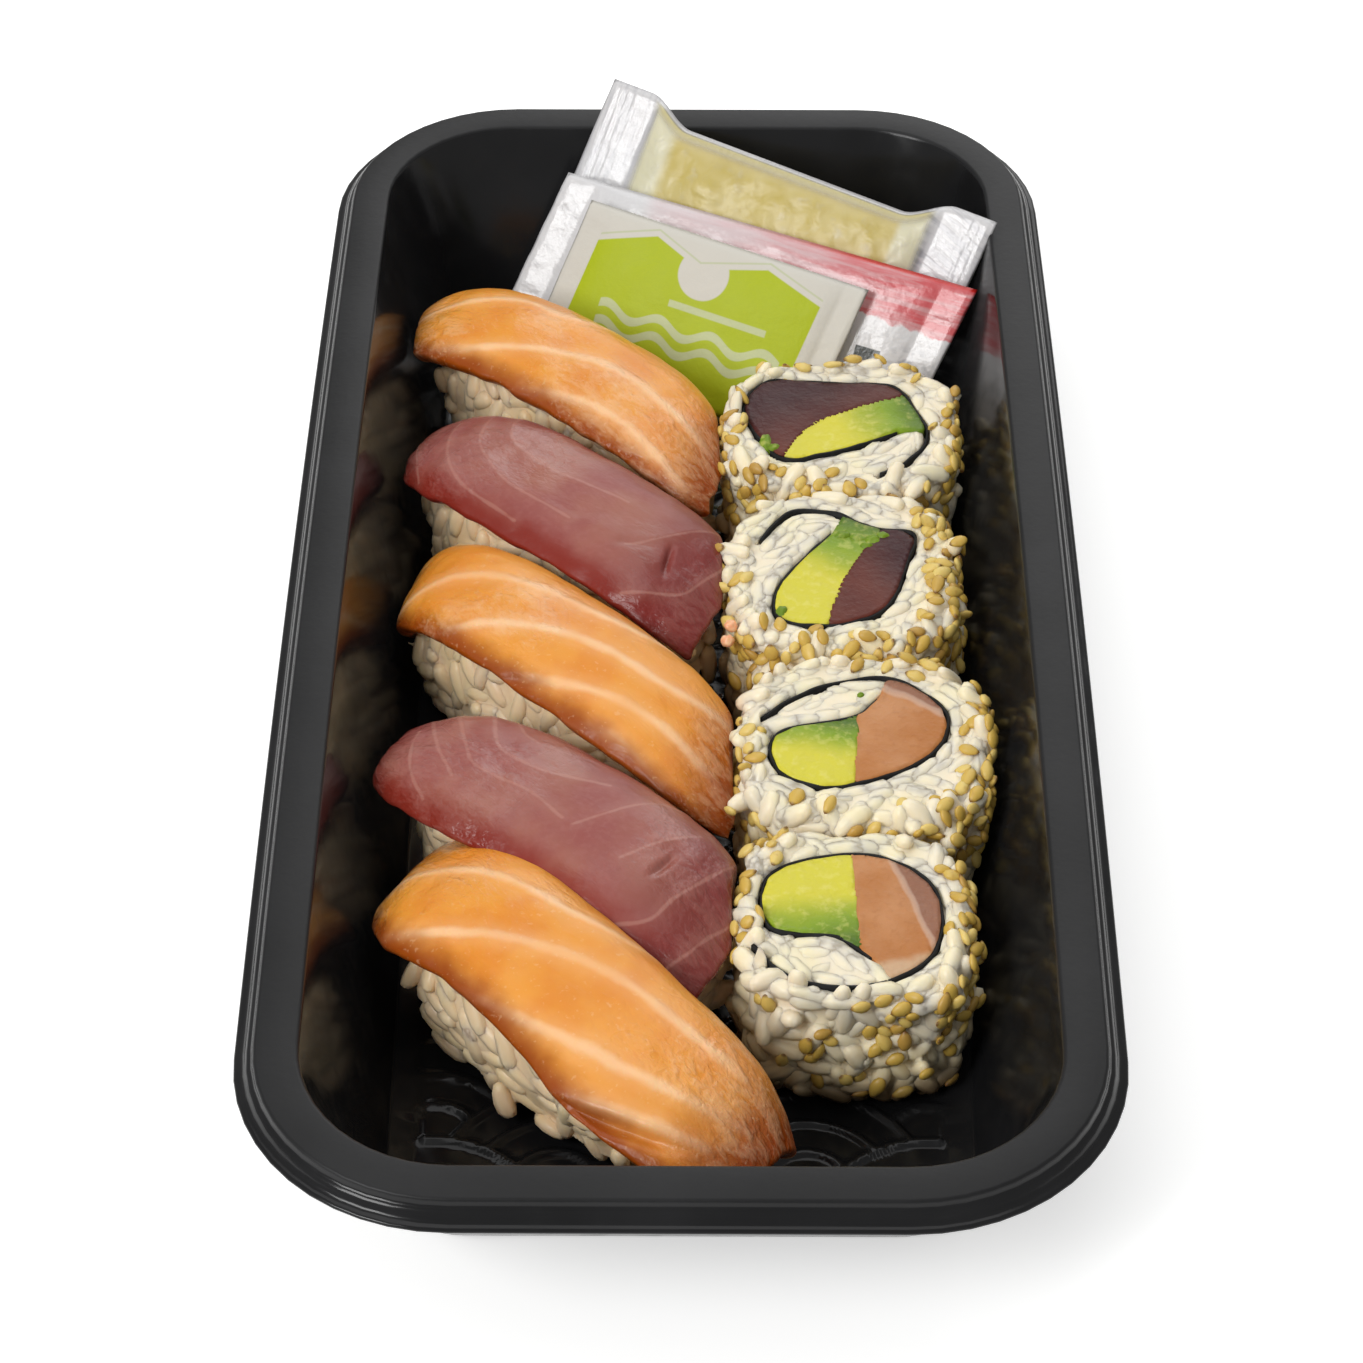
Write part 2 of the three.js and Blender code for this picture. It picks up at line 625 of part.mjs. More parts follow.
// A group standing at its place.
function addPlace(x, y, turn) {
  const place = new THREE.Group();
  place.position.set(x, y, 0);
  place.rotation.z = THREE.MathUtils.degToRad(turn);
  place.updateMatrix();
  object.add(place);
  return place;
}

// A solid of the whole tray's frame, as seen from a group's or a mesh's own frame.
const seenFrom = (place, solid) => solid.transform(place.matrix.clone().invert().elements);

addMesh('tray', toGeometry(traySolid()), 'tray', object);
const room = freeSpace();
const columns = rolls.map((roll) => rollColumn(roll, -gap, 24).translate(roll.x, roll.y, 0));
const roomBesideRolls = room.subtract(wasm.Manifold.union(columns));

const nigiriPlaces = nigiri.map((piece) => addPlace(piece.x, piece.y, piece.turn));
const keptFree = nigiri.map((piece, i) => keepFree(piece).transform(nigiriPlaces[i].matrix.elements));

nigiri.forEach((piece, i) => {
  const place = nigiriPlaces[i];
  let fish = toSolid(sliceSlab(piece)).intersect(seenFrom(place, roomBesideRolls));
  let rice = riceFinger(piece, makeRandom(11 + i)).intersect(seenFrom(place, roomBesideRolls));
  keptFree.forEach((slab, j) => {
    if (Math.abs(i - j) > 1) return;
    rice = rice.subtract(seenFrom(place, slab));
    if (j > i) fish = fish.subtract(seenFrom(place, slab));
  });
  addMesh(`nigiri_${piece.name}_fish`, toGeometry(mainBody(fish)), piece.fish, place);
  addMesh(`nigiri_${piece.name}_rice`, toGeometry(mainBody(rice)), 'rice', place);
});

rolls.forEach((roll, i) => {
  const place = addPlace(roll.x, roll.y, 0);
  const parts = rollParts(roll, makeRandom(31 + i));
  Object.entries(parts).forEach(([part, solid]) => {
    const kept = mainBody(solid.intersect(seenFrom(place, room)));
    addMesh(`roll_${roll.name}_${part}`, toGeometry(kept), part === 'fish' ? roll.fish : part, place);
  });
});

sachets.forEach((sachet) => {
  const left = new THREE.Vector3(...sachet.left).setZ(rimTop + sachet.left[2]);
  const right = new THREE.Vector3(...sachet.right).setZ(rimTop + sachet.right[2]);
  const place = new THREE.Group();
  place.applyMatrix4(sachetMatrix(sachet, left, right));
  place.updateMatrix();
  object.add(place);
  const pillow = toSolid(sachetGeometry(sachet, left.distanceTo(right)));
  const kept = mainBody(pillow.intersect(seenFrom(place, room)));
  addMesh(`sachet_${sachet.name}`, toGeometry(kept), sachet.name, place);
});

export default object;
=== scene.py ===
"""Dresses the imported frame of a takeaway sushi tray. Lengths in tables are millimetres."""

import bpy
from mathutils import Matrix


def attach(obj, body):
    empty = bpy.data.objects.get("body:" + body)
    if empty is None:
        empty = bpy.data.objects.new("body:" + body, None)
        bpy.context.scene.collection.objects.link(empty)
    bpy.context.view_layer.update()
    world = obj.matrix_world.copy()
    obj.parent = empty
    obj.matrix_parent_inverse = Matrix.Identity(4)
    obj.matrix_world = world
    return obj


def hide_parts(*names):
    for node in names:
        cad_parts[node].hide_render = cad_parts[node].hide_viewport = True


bl_info = {
    "name": "Sushi Tray",
    "version": (1, 0, 0),
    "blender": (4, 5, 0),
    "location": "3D View > Sidebar > Sushi Tray",
    "description": "Builds a takeaway tray with nigiri, rolls and condiment sachets",
    "category": "Add Mesh",
}

from contextlib import contextmanager

import bpy
import numpy as np
from mathutils import Vector, noise
from mathutils.kdtree import KDTree

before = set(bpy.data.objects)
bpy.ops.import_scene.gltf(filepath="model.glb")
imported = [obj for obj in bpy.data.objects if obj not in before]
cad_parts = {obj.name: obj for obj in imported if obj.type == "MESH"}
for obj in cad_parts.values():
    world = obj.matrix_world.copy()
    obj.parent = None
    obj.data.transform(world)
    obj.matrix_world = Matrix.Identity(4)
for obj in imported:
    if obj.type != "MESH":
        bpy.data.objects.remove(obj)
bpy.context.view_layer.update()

MM = 0.001
BODY = "root"

# ---- the tray, in mm ----

# Insets are measured inward from the shoulder of the rim, and the long walls bow out by BOW. Each wall
# bends into the floor over WALL_BEND. The floor's ribs lie at shares of the radius of one scale.
SHOULDER_X, SHOULDER_Y, SHOULDER_CORNER = 52.0, 114.6, 24.7
BOW = 0.9
FLANGE = 5.5
SHEET = 0.8
FLOOR_INSET_X, FLOOR_INSET_Y = 14.5, 18.0
RIM_TOP = 30.4
FLOOR_TOP = 2.4
FOOD_FLOOR = 2.7
DEPTH = RIM_TOP - FLOOR_TOP
WALL_BEND = 2.6
FLOOR_REACH = 120
RIB_SHARES = (0.97, 0.66, 0.35)
FOOT = {"x": 35.2, "y": 84.9, "width": 4.4, "length": 17.4}
LUG = {"x": 35.7, "y": 86.0, "width": 1.2, "length": 10.0, "top": 2.0}

# ---- the food, in mm ----

# The least room that food keeps to the rolls, the walls, the floor and the seaweed, and how its rice
# is skinned: how far the grains sink into the skin, and how often it is smoothed. The last line has
# the numbers from which the random draws of each piece of rice count up.
SLICE_THICKNESS, SLICE_RIM = 5.5, 2.6
GAP_TO_ROLL = 0.3
SLICE_END = 0.985
CORE_SHRINK = 0.45
GRAIN_OFF_NORI, GRAIN_ROOM, GRAIN_HALF = 1.4, 0.36, 1.3
SKIN_VOXEL = 0.42
ROLL_SKIN = {"sink": 0.14, "smooth": 4}
NIGIRI_SKIN = {"sink": 0.3, "smooth": 3}
WALL_ROOM, FISH_ROOM, FLOOR_ROOM = 0.3, 0.7, 0.15
STRAY_SEEDS, SEED_SPACING = 12, 1.4
NIGIRI_DRAW, ROLL_DRAW = 40, 70

# Nigiri, back to front: place, turn in degrees, size as cut, height over the floor, how far each edge
# bends down (left, right, near, far) in degrees, how the ends narrow, their slant, the sideways arc,
# and how far the rice is drawn in at its foot.
# Fat lines run through points given as shares of half the length and width. A crease has its two
# ends in the same shares, its depth and its half width. A flare widens the near edge around a share
# of the length, over some width, by some mm.
NIGIRI = {
    "salmon_back": {
        "place": (-16.6, 55.3), "turn": -41, "size": (68, 25), "top": 24.4, "drop": (52, 40, 40, 80),
        "narrow": (0.9, 0.8), "slant": -0.45, "arc": -3, "foot": 1.0,
        "lines": (((-0.95, -0.2), (-0.72, 0.1), (-0.45, 0.38), (-0.13, 0.5), (0.1, 1.05)),
                  ((-0.8, -1), (-0.42, -0.69), (-0.08, -0.24), (0.21, 0.01), (0.55, 0.03), (0.9, 0)),
                  ((-0.15, -1.1), (0.11, -0.78), (0.34, -0.61), (0.61, -0.62), (0.85, -0.8))),
        "creases": ()},
    "tuna_back": {
        "place": (-17.3, 22), "turn": -41, "size": (64, 25.5), "top": 24.7, "drop": (50, 42, 52, 52),
        "narrow": (0.86, 0.5), "slant": -0.22, "arc": 0, "foot": 1.2,
        "lines": (((-0.97, -0.15), (-0.86, -0.52), (-0.7, -0.86)),
                  ((-0.8, 0.4), (-0.74, -0.02), (-0.65, -0.33), (-0.45, -0.64), (-0.05, -0.75)),
                  ((-0.7, 1), (-0.57, 0.09), (-0.41, -0.2), (-0.21, -0.36), (0.15, -0.37)),
                  ((-0.57, 1), (-0.46, 0.35), (-0.3, 0.18), (-0.12, 0.13), (0.28, 0.28)),
                  ((0.46, -0.24), (0.52, -0.03), (0.58, 0.23), (0.7, 0.9)),
                  ((0.6, -0.8), (0.81, -0.34), (0.84, 0.05), (0.89, 0.7))),
        "creases": (((0.62, 0.12), (0.69, -0.27), 0.9, 0.5), ((0.42, -0.3), (0.56, -0.02), 0.5, 0.8))},
    "salmon_middle": {
        "place": (-17.4, -7.7), "turn": -43.5, "size": (77, 25), "top": 24.5, "drop": (85, 48, 50, 85),
        "narrow": (0.88, 0.7), "slant": -0.6, "arc": 0, "foot": 1.8,
        "lines": (((-0.8, -0.85), (-0.66, -0.46), (-0.45, 0), (-0.17, 0.32), (0.1, 0.45), (0.4, 0.8)),
                  ((-0.45, -1.1), (-0.21, -0.53), (0.02, -0.13), (0.27, 0.07), (0.54, 0.16), (0.85, 0.5)),
                  ((-0.1, -1.1), (0.19, -0.66), (0.41, -0.41), (0.64, -0.31), (0.9, -0.4)),
                  ((0.3, -1), (0.46, -0.8), (0.69, -0.93))),
        "creases": (((0.0, -0.98), (0.16, -0.72), 0.8, 0.9),)},
    "tuna_front": {
        "place": (-15, -43.8), "turn": -40.5, "size": (64.5, 27), "top": 24.8, "drop": (40, 42, 58, 62),
        "narrow": (0.93, 0.5), "slant": -0.12, "arc": -2.6, "foot": 0.8,
        "lines": (((-0.87, 0.2), (-0.82, -0.16), (-0.7, -0.53), (-0.55, -0.75)),
                  ((-0.93, 0.8), (-0.82, 0.29), (-0.69, -0.08), (-0.51, -0.38)),
                  ((-0.84, 1), (-0.74, 0.49), (-0.58, 0.06), (-0.46, -0.15), (-0.15, -0.14), (0.03, -0.2)),
                  ((-0.72, 1), (-0.46, 0.22), (-0.3, 0.15), (-0.18, 0.19), (0.05, 0.45)),
                  ((-0.6, 1), (-0.45, 0.58), (-0.35, 0.5)),
                  ((0.1, -0.2), (0.17, 0.15), (0.24, 0.52), (0.36, 0.9)),
                  ((0.37, -0.2), (0.43, 0.21), (0.52, 0.65)),
                  ((0.5, -0.9), (0.65, -0.51), (0.66, -0.18), (0.69, 0.21), (0.72, 0.8)),
                  ((0.8, -0.9), (0.85, -0.52), (0.88, -0.13), (0.92, 0.3))),
        "creases": (((0.53, 0.24), (0.52, -0.14), 0.7, 0.6),)},
    "salmon_front": {
        "place": (-13.6, -73.4), "turn": -50, "size": (78, 27), "top": 25.2, "drop": (57, 50, 55, 85),
        "narrow": (0.3, 0.62), "slant": -0.25, "arc": 1.2, "foot": 2.3,
        "flare": ((0.4, 0.3, 1.9), (-0.6, 0.2, 2.0)),
        "lines": (((-1, -0.6), (-0.79, -0.21), (-0.55, 0.16), (-0.2, 0.42), (0.06, 0.72), (0.2, 1.1)),
                  ((-0.8, -1.1), (-0.49, -0.69), (-0.08, -0.03), (0.15, 0.19), (0.42, 0.28), (0.7, 0.42)),
                  ((-0.35, -1.1), (0.03, -0.77), (0.27, -0.53), (0.5, -0.35), (0.71, -0.13), (0.85, 0.1)),
                  ((0.2, -1.1), (0.4, -0.85), (0.6, -0.62), (0.8, -0.42))),
        "creases": (((0.36, -1.0), (0.74, -0.62), 1.5, 0.9),)},
}

# Rolls, back to front: place, half size, the fish inside, which way the avocado's skin side faces,
# which way the fish turns dark, how far along that way, which way it turns to pale fat, clusters of
# seeds and the seaweed's spiral. A cluster has its angle round the roll, its height (1 at the rim,
# more for a share of the way inward on the cut face), its spread and how many seeds it holds.
ROLLS = {
    "back": {
        "place": (23.1, 42), "half": (17.7, 15.5), "fish": "tuna", "skin": (1, 0.25),
        "dark": (-0.7, 1), "line": 0.15,
        "seeds": ((185, 0.95, 5, 16), (205, 0.75, 5, 18), (228, 0.92, 5, 22), (248, 0.85, 4, 22),
                  (268, 0.9, 4, 18), (290, 0.85, 4, 10), (312, 0.75, 5, 16), (340, 0.97, 4, 16),
                  (5, 0.9, 5, 22), (28, 1.05, 3, 7), (55, 1.08, 3, 6), (110, 1.02, 8, 14)),
        "nori": ((8.3, -1.8), (0.2, -6.1), (-8.5, -8), (-12.4, -2.8), (-14.4, 4), (-11, 10.3),
                 (-1.2, 9.9), (8.1, 9.1), (11.2, 3.5), (12.8, -2.5), (9.6, -8.9), (5.5, -11.6))},
    "middle_back": {
        "place": (22.5, 8.4), "half": (16.7, 17.8), "fish": "tuna", "skin": (0.3, 1),
        "dark": (0.8, 0.6), "line": 0.3,
        "seeds": ((350, 0.7, 12, 150), (325, 0.8, 6, 60), (10, 0.9, 6, 50), (22, 1.12, 4, 20),
                  (38, 1.12, 4, 16), (345, 1.04, 3, 16), (305, 0.85, 4, 34), (285, 0.9, 5, 30),
                  (262, 0.86, 5, 24), (238, 0.85, 5, 22), (218, 0.75, 5, 26), (180, 0.98, 6, 7)),
        "nori": ((-1.5, 8), (-5.7, 2.3), (-9.6, -5), (-9.1, -10.4), (-1.9, -11.8), (5.6, -8.4),
                 (9.3, 1.9), (10.4, 8.3), (4.6, 9.5), (-0.5, 12.7), (-7, 13.2), (-11.6, 6.8))},
    "middle_front": {
        "place": (24.6, -26.8), "half": (17.5, 17.1), "fish": "salmon", "skin": (0.2, 1),
        "dark": (0.45, 1), "line": 0.66,
        "seeds": ((318, 0.85, 6, 56), (300, 0.8, 5, 30), (335, 0.75, 7, 60), (350, 0.98, 4, 14),
                  (12, 1.0, 4, 12), (62, 1.03, 4, 20), (85, 1.06, 3, 5), (278, 0.85, 4, 9),
                  (200, 1.04, 2, 4), (178, 0.85, 6, 12), (218, 0.7, 5, 16), (30, 0.8, 8, 30)),
        "nori": ((1.9, 8), (-1, 4.6), (-12, 1), (-12.2, -5.4), (-6.5, -9.4), (1, -7.9),
                 (9.7, -2), (11.2, 5.4), (3.6, 12.3), (-9, 8.7), (-14, 3.8))},
    "front": {
        "place": (22.4, -59.8), "half": (15.6, 15.6), "fish": "salmon", "skin": (0.1, -1),
        "dark": (1, 0.585), "line": 0.42, "pale": (0.15, -1),
        "seeds": ((130, 0.95, 4, 18), (160, 0.95, 3, 8), (192, 0.95, 3, 8), (28, 1.08, 3, 16),
                  (8, 1.08, 3, 14), (348, 1.05, 3, 14), (340, 0.7, 7, 44), (318, 0.9, 4, 14),
                  (314, 0.55, 4, 12), (290, 0.78, 3, 20), (278, 0.72, 3, 12), (255, 0.72, 1, 2),
                  (252, 0.55, 2, 3), (225, 0.85, 2, 3), (288, 0.35, 4, 7), (262, 0.2, 4, 5)),
        "nori": ((1.8, -8.2), (-2, -4.6), (-11.2, -2.5), (-10.9, 7), (2.4, 10.6), (10.4, 4.4),
                 (9.8, -7.1), (2, -12.7), (-8.4, -11.7), (-13.4, -5.8))},
}

# Scraps of avocado squeezed out beside the fillings: roll, place from its middle, and half sizes.
SCRAPS = (("middle_back", (0.2, 7.7), (1.5, 1.1, 1.2)), ("middle_back", (2.4, 7.3), (1.7, 1.3, 1.5)),
          ("middle_back", (4.6, 6.6), (1.6, 1.4, 1.4)), ("middle_back", (6.0, 7.6), (1.1, 0.9, 1.2)),
          ("middle_back", (3.6, 5.4), (1.2, 0.9, 1.2)), ("back", (-11.2, -4.3), (1.2, 2.2, 1.6)),
          ("back", (-9.9, -5.6), (1.4, 0.9, 1.4)), ("middle_back", (-8.8, -8.9), (1.0, 1.3, 1.2)),
          ("middle_front", (-0.3, 8.6), (0.5, 0.45, 0.5)))
# Beads of roe by the left edge of a roll: roll, place from its middle, and height.
ROE = (("middle_back", (-15.9, -11.4), 22.3), ("middle_back", (-16.4, -13.5), 21.3))
ROLL_HEIGHT = 20.4
ROLL_TOP = FOOD_FLOOR + ROLL_HEIGHT
ROLL_SQUARENESS = 3.4

# Sachets, back to front: the ends of the top edge (z from the rim), the lean, the height and
# thickness of the pillow, how far its lower edge shifts, its filled share and the top edge's sag.
SACHETS = {
    "ginger": {"left": (-11.6, 111, 8), "right": (48.1, 81, 1.5), "lean": 36, "height": 27,
               "shift": 2, "thickness": 7, "filled": 0.74, "sag": 3.5},
    "soy": {"left": (-18.9, 99.4, -2), "right": (44.8, 70.9, -4), "lean": 37, "height": 31,
            "shift": 6, "thickness": 4, "filled": 0.84, "sag": 0},
    "wasabi": {"left": (-15, 91.5, -1.8), "right": (28.1, 71.9, -4.8), "lean": 38, "height": 26,
               "shift": 3, "thickness": 3.6, "filled": 0.84, "sag": 0},
}
GINGER_INSET = 8.6
PRINT_SKEW = 0.12
CRIMP = 1.3


# ---- mesh tools ----


def select_only(piece):
    bpy.ops.object.select_all(action="DESELECT")
    piece.select_set(True)
    bpy.context.view_layer.objects.active = piece


def added(operator, **settings):
    """The piece that an operator adds."""
    bpy.ops.object.select_all(action="DESELECT")
    operator(**settings)
    return bpy.context.object


def read(items, key, width=3, kind=float):
    """One value of every item, such as each vertex's place, as the rows of an array."""
    values = np.empty(len(items) * width, kind)
    items.foreach_get(key, values)
    return values.reshape(-1, width)


def corners_of(mesh):
    """The vertex at each corner of a mesh's faces."""
    return read(mesh.loops, "vertex_index", 1, int).ravel()


def places(piece):
    """The vertices of a piece, in mm."""
    return read(piece.data.vertices, "co") / MM


def place_all(piece, co):
    piece.data.vertices.foreach_set("co", (np.asarray(co) * MM).ravel())
    piece.data.update()


def normals(piece):
    return read(piece.data.vertex_normals, "vector")


def faces_of(piece):
    """Middles, in mm, and normals of a piece's faces."""
    return read(piece.data.polygons, "center") / MM, read(piece.data.polygons, "normal")


@contextmanager
def editing(piece):
    """Edit mode with the whole of a piece selected."""
    select_only(piece)
    bpy.ops.object.mode_set(mode="EDIT")
    bpy.ops.mesh.select_all(action="SELECT")
    yield
    bpy.ops.object.mode_set(mode="OBJECT")


def turn_outward():
    bpy.ops.mesh.normals_make_consistent(inside=False)


def modify(piece, kind, **settings):
    """Adds one modifier and applies it."""
    select_only(piece)
    modifier = piece.modifiers.new(kind.title(), kind)
    for key, value in settings.items():
        setattr(modifier, key, value)
    bpy.ops.object.modifier_apply(modifier=modifier.name)


def shaped_grid(name, steps, shape):
    """A grid primitive, with each vertex placed by a function of its place from -1 to 1."""
    piece = added(bpy.ops.mesh.primitive_grid_add, x_subdivisions=steps[0], y_subdivisions=steps[1],
                  size=2, calc_uvs=True)
    piece.name = name
    flat = places(piece) * MM
    place_all(piece, shape(flat[:, 0], flat[:, 1]))
    return piece, flat


def set_uv(piece, uv):
    """Gives each vertex its own place on the UV map."""
    uv = np.asarray(uv)[corners_of(piece.data)]
    piece.data.uv_layers.active.data.foreach_set("uv", uv.ravel())


def set_attribute(piece, name, values):
    attribute = piece.data.attributes.new(name, "FLOAT", "POINT")
    attribute.data.foreach_set("value", np.asarray(values, float))


def rough(co, size, seed=0.0):
    """Smooth noise from -1 to 1 at each point, with bumps of some size in mm."""
    return np.array([noise.noise(Vector(point) / size + Vector((seed, seed, seed))) for point in co])


def swell(piece, amounts):
    """Moves each vertex along its normal by some mm."""
    place_all(piece, places(piece) + normals(piece) * np.asarray(amounts)[:, None])


def smoothstep(value, low, high):
    t = np.clip((value - low) / (high - low), 0, 1)
    return t * t * (3 - 2 * t)


def turned(x, y, degrees):
    angle = np.radians(degrees)
    return x * np.cos(angle) - y * np.sin(angle), x * np.sin(angle) + y * np.cos(angle)


def unit(vectors):
    return vectors / np.linalg.norm(vectors, axis=1)[:, None]


def tree_of(points):
    """A tree that finds the nearest of some points."""
    tree = KDTree(len(points))
    for index, point in enumerate(points):
        tree.insert(point, index)
    tree.balance()
    return tree


def remesh(piece, voxel, smooth):
    """One even skin over a piece, with its steps smoothed away."""
    modify(piece, "REMESH", mode="VOXEL", voxel_size=voxel * MM)
    modify(piece, "SMOOTH", factor=0.5, iterations=smooth)


def node_copy(name, node, voxel, smooth):
    """A rounded, finely meshed copy of a solid of the frame."""
    piece = bpy.data.objects.new(name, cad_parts[node].data.copy())
    bpy.context.scene.collection.objects.link(piece)
    piece.data.materials.clear()
    with editing(piece):
        bpy.ops.mesh.remove_doubles(threshold=1e-5)
    remesh(piece, voxel, smooth)
    return piece


def joined(name, pieces):
    select_only(pieces[0])
    for piece in pieces:
        piece.select_set(True)
    bpy.ops.object.join()
    pieces[0].name = name
    return pieces[0]


def finish_piece(piece, material, slot, *nodes):
    select_only(piece)
    bpy.ops.object.shade_smooth()
    piece.data.materials.clear()
    piece.data.materials.append(material)
    piece.data.polygons.foreach_set("material_index", np.zeros(len(piece.data.polygons), int))
    piece.data.update()
    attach(piece, BODY)
    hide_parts(*nodes)


# ---- shader tools ----


def on_value(operation):
    """A method that runs one maths operation on a value and what comes with it."""
    return lambda value, *others: value.shader.maths(operation, value, *others)


class Value:
    """A socket of a shader, so that maths on it reads as an expression."""

    def __init__(self, shader, socket):
        self.shader = shader
        self.socket = socket

    __add__ = __radd__ = on_value("ADD")
    __mul__ = __rmul__ = on_value("MULTIPLY")
    __sub__ = on_value("SUBTRACT")
    __abs__ = on_value("ABSOLUTE")
    root, sine, most = on_value("SQRT"), on_value("SINE"), on_value("MAXIMUM")

    def __rsub__(self, other):
        return self.shader.maths("SUBTRACT", other, self)

    def ease(self, low, high):
        """0 below low, 1 above high, and smooth between."""
        settings = {"interpolation_type": "SMOOTHSTEP", "clamp": True}
        values = {0: self, 1: low, 2: high, 3: 0.0, 4: 1.0}
        return self.shader.value("ShaderNodeMapRange", settings, values)


INPUTS = {
    "colour": "Base Color", "roughness": "Roughness", "normal": "Normal", "alpha": "Alpha",
    "specular": "Specular IOR Level", "ior": "IOR", "coat": "Coat Weight",
    "coat_roughness": "Coat Roughness", "soft": "Subsurface Weight", "reach": "Subsurface Radius",
    "scale": "Subsurface Scale", "glow": "Emission Color", "glow_strength": "Emission Strength"}


class Shader:
    """A material and its nodes. Colours have three values."""

    def __init__(self, name):
        self.material = bpy.data.materials.new(name)
        self.material.use_nodes = True
        self.tree = self.material.node_tree
        self.tree.nodes.clear()

    def node(self, kind, settings=None, values=None):
        node = self.tree.nodes.new(kind)
        for key, value in (settings or {}).items():
            setattr(node, key, value)
        for key, value in (values or {}).items():
            socket = node.inputs[key]
            if isinstance(value, Value):
                self.tree.links.new(value.socket, socket)
            else:
                socket.default_value = (*value, 1.0) if socket.type == "RGBA" else value
        return node

    def value(self, kind, settings=None, values=None, output=0):
        return Value(self, self.node(kind, settings, values).outputs[output])

    def maths(self, operation, *values):
        return self.value("ShaderNodeMath", {"operation": operation}, dict(enumerate(values)))

    def place(self):
        return self.value("ShaderNodeTexCoord", output="Object")

    def map(self):
        return self.value("ShaderNodeTexCoord", output="UV")

    def axes(self, vector):
        node = self.node("ShaderNodeSeparateXYZ", values={0: vector})
        return [Value(self, output) for output in node.outputs]

    def vector(self, x, y, z):
        return self.value("ShaderNodeCombineXYZ", values={0: x, 1: y, 2: z})

    def attribute(self, name):
        return self.value("ShaderNodeAttribute", {"attribute_name": name}, output="Fac")

    def noise(self, vector, scale, detail=2.0, distortion=0.0):
        values = {"Vector": vector, "Scale": scale, "Detail": detail, "Distortion": distortion}
        return self.value("ShaderNodeTexNoise", values=values)

    def layers(self, colour, *layers):
        """A colour with others laid over it in turn, each with how much of it shows."""
        for factor, over in layers:
            values = {0: factor, 6: colour, 7: over}
            colour = self.value("ShaderNodeMix", {"data_type": "RGBA"}, values, 2)
        return colour

    def bump(self, height, distance, strength=1.0):
        values = {"Height": height, "Distance": distance * MM, "Strength": strength}
        return self.value("ShaderNodeBump", values=values)

    def done(self, **values):
        """Ends the tree in one surface, whose inputs have the short names above."""
        inputs = {INPUTS[key]: value for key, value in values.items()}
        surface = self.value("ShaderNodeBsdfPrincipled", values=inputs)
        output = self.node("ShaderNodeOutputMaterial", values={"Surface": surface})
        self.tree.nodes.active = output
        return self.material


# ---- settings ----


def colour_prop(name, description, default):
    return bpy.props.FloatVectorProperty(name=name, description=description, default=default,
                                         subtype="COLOR", size=3, min=0.0, max=1.0)


def length_prop(name, description, default):
    return bpy.props.FloatProperty(name=name, description=description, default=default * MM,
                                   unit="LENGTH", min=0.0, precision=5)


class TraySettings(bpy.types.PropertyGroup):
    colour: colour_prop("Sheet colour", "Colour of the formed sheet", (0.0085, 0.0085, 0.009))
    relief: length_prop("Floor relief", "How deep the floor lies between its ribs", 0.6)
    scale_size: length_prop("Relief scale", "Radius of one scale of the floor's pattern", 16)
    rib: length_prop("Rib width", "Width of a rib of the floor's pattern", 1.3)


class RiceSettings(bpy.types.PropertyGroup):
    colour: colour_prop("Rice colour", "Colour of the cooked grains", (0.86, 0.75, 0.57))
    shade: colour_prop("Shaded rice colour", "Colour of the more see-through grains", (0.66, 0.60, 0.48))
    length: length_prop("Grain length", "Length of a cooked grain", 6.3)
    width: length_prop("Grain width", "Width of a cooked grain", 2.9)
    spacing: length_prop("Grain spacing", "Least distance between the middles of two grains", 2.3)
    seed_colour: colour_prop("Seed colour", "Colour of the sesame seeds", (0.62, 0.41, 0.075))
    seed_length: length_prop("Seed length", "Length of a sesame seed", 3.0)


class FishSettings(bpy.types.PropertyGroup):
    salmon: colour_prop("Salmon colour", "Colour of the salmon's flesh", (0.80, 0.32, 0.041))
    salmon_fat: colour_prop("Salmon fat colour", "Colour of the salmon's fat lines", (0.92, 0.57, 0.30))
    tuna: colour_prop("Tuna colour", "Colour of the tuna's flesh", (0.29, 0.074, 0.062))


class FillingSettings(bpy.types.PropertyGroup):
    nori: colour_prop("Seaweed colour", "Colour of the seaweed", (0.006, 0.006, 0.006))
    nori_thickness: length_prop("Seaweed thickness", "Thickness of the seaweed sheet", 0.42)
    flesh: colour_prop("Avocado colour", "Colour of the avocado's flesh", (0.66, 0.60, 0.045))
    skin: colour_prop("Avocado skin side", "Colour near the avocado's skin", (0.075, 0.15, 0.010))


class SachetSettings(bpy.types.PropertyGroup):
    film: colour_prop("Film colour", "Colour of the white film", (0.68, 0.67, 0.675))
    ginger: colour_prop("Ginger colour", "Colour of the pickled ginger", (0.55, 0.43, 0.075))
    lime: colour_prop("Green print", "Colour of the printed green field", (0.42, 0.50, 0.012))
    red: colour_prop("Red print", "Colour of the printed red band", (0.58, 0.09, 0.10))
    wrinkle: length_prop("Wrinkle depth", "Depth of the film's wrinkles", 0.45)


class StageSettings(bpy.types.PropertyGroup):
    floor: colour_prop("Floor colour", "Colour of the floor", (0.93, 0.93, 0.92))
    lens: bpy.props.FloatProperty(name="Lens", description="Focal length in mm on a 36 mm sensor",
                                  default=101.39)


# ---- tray ----


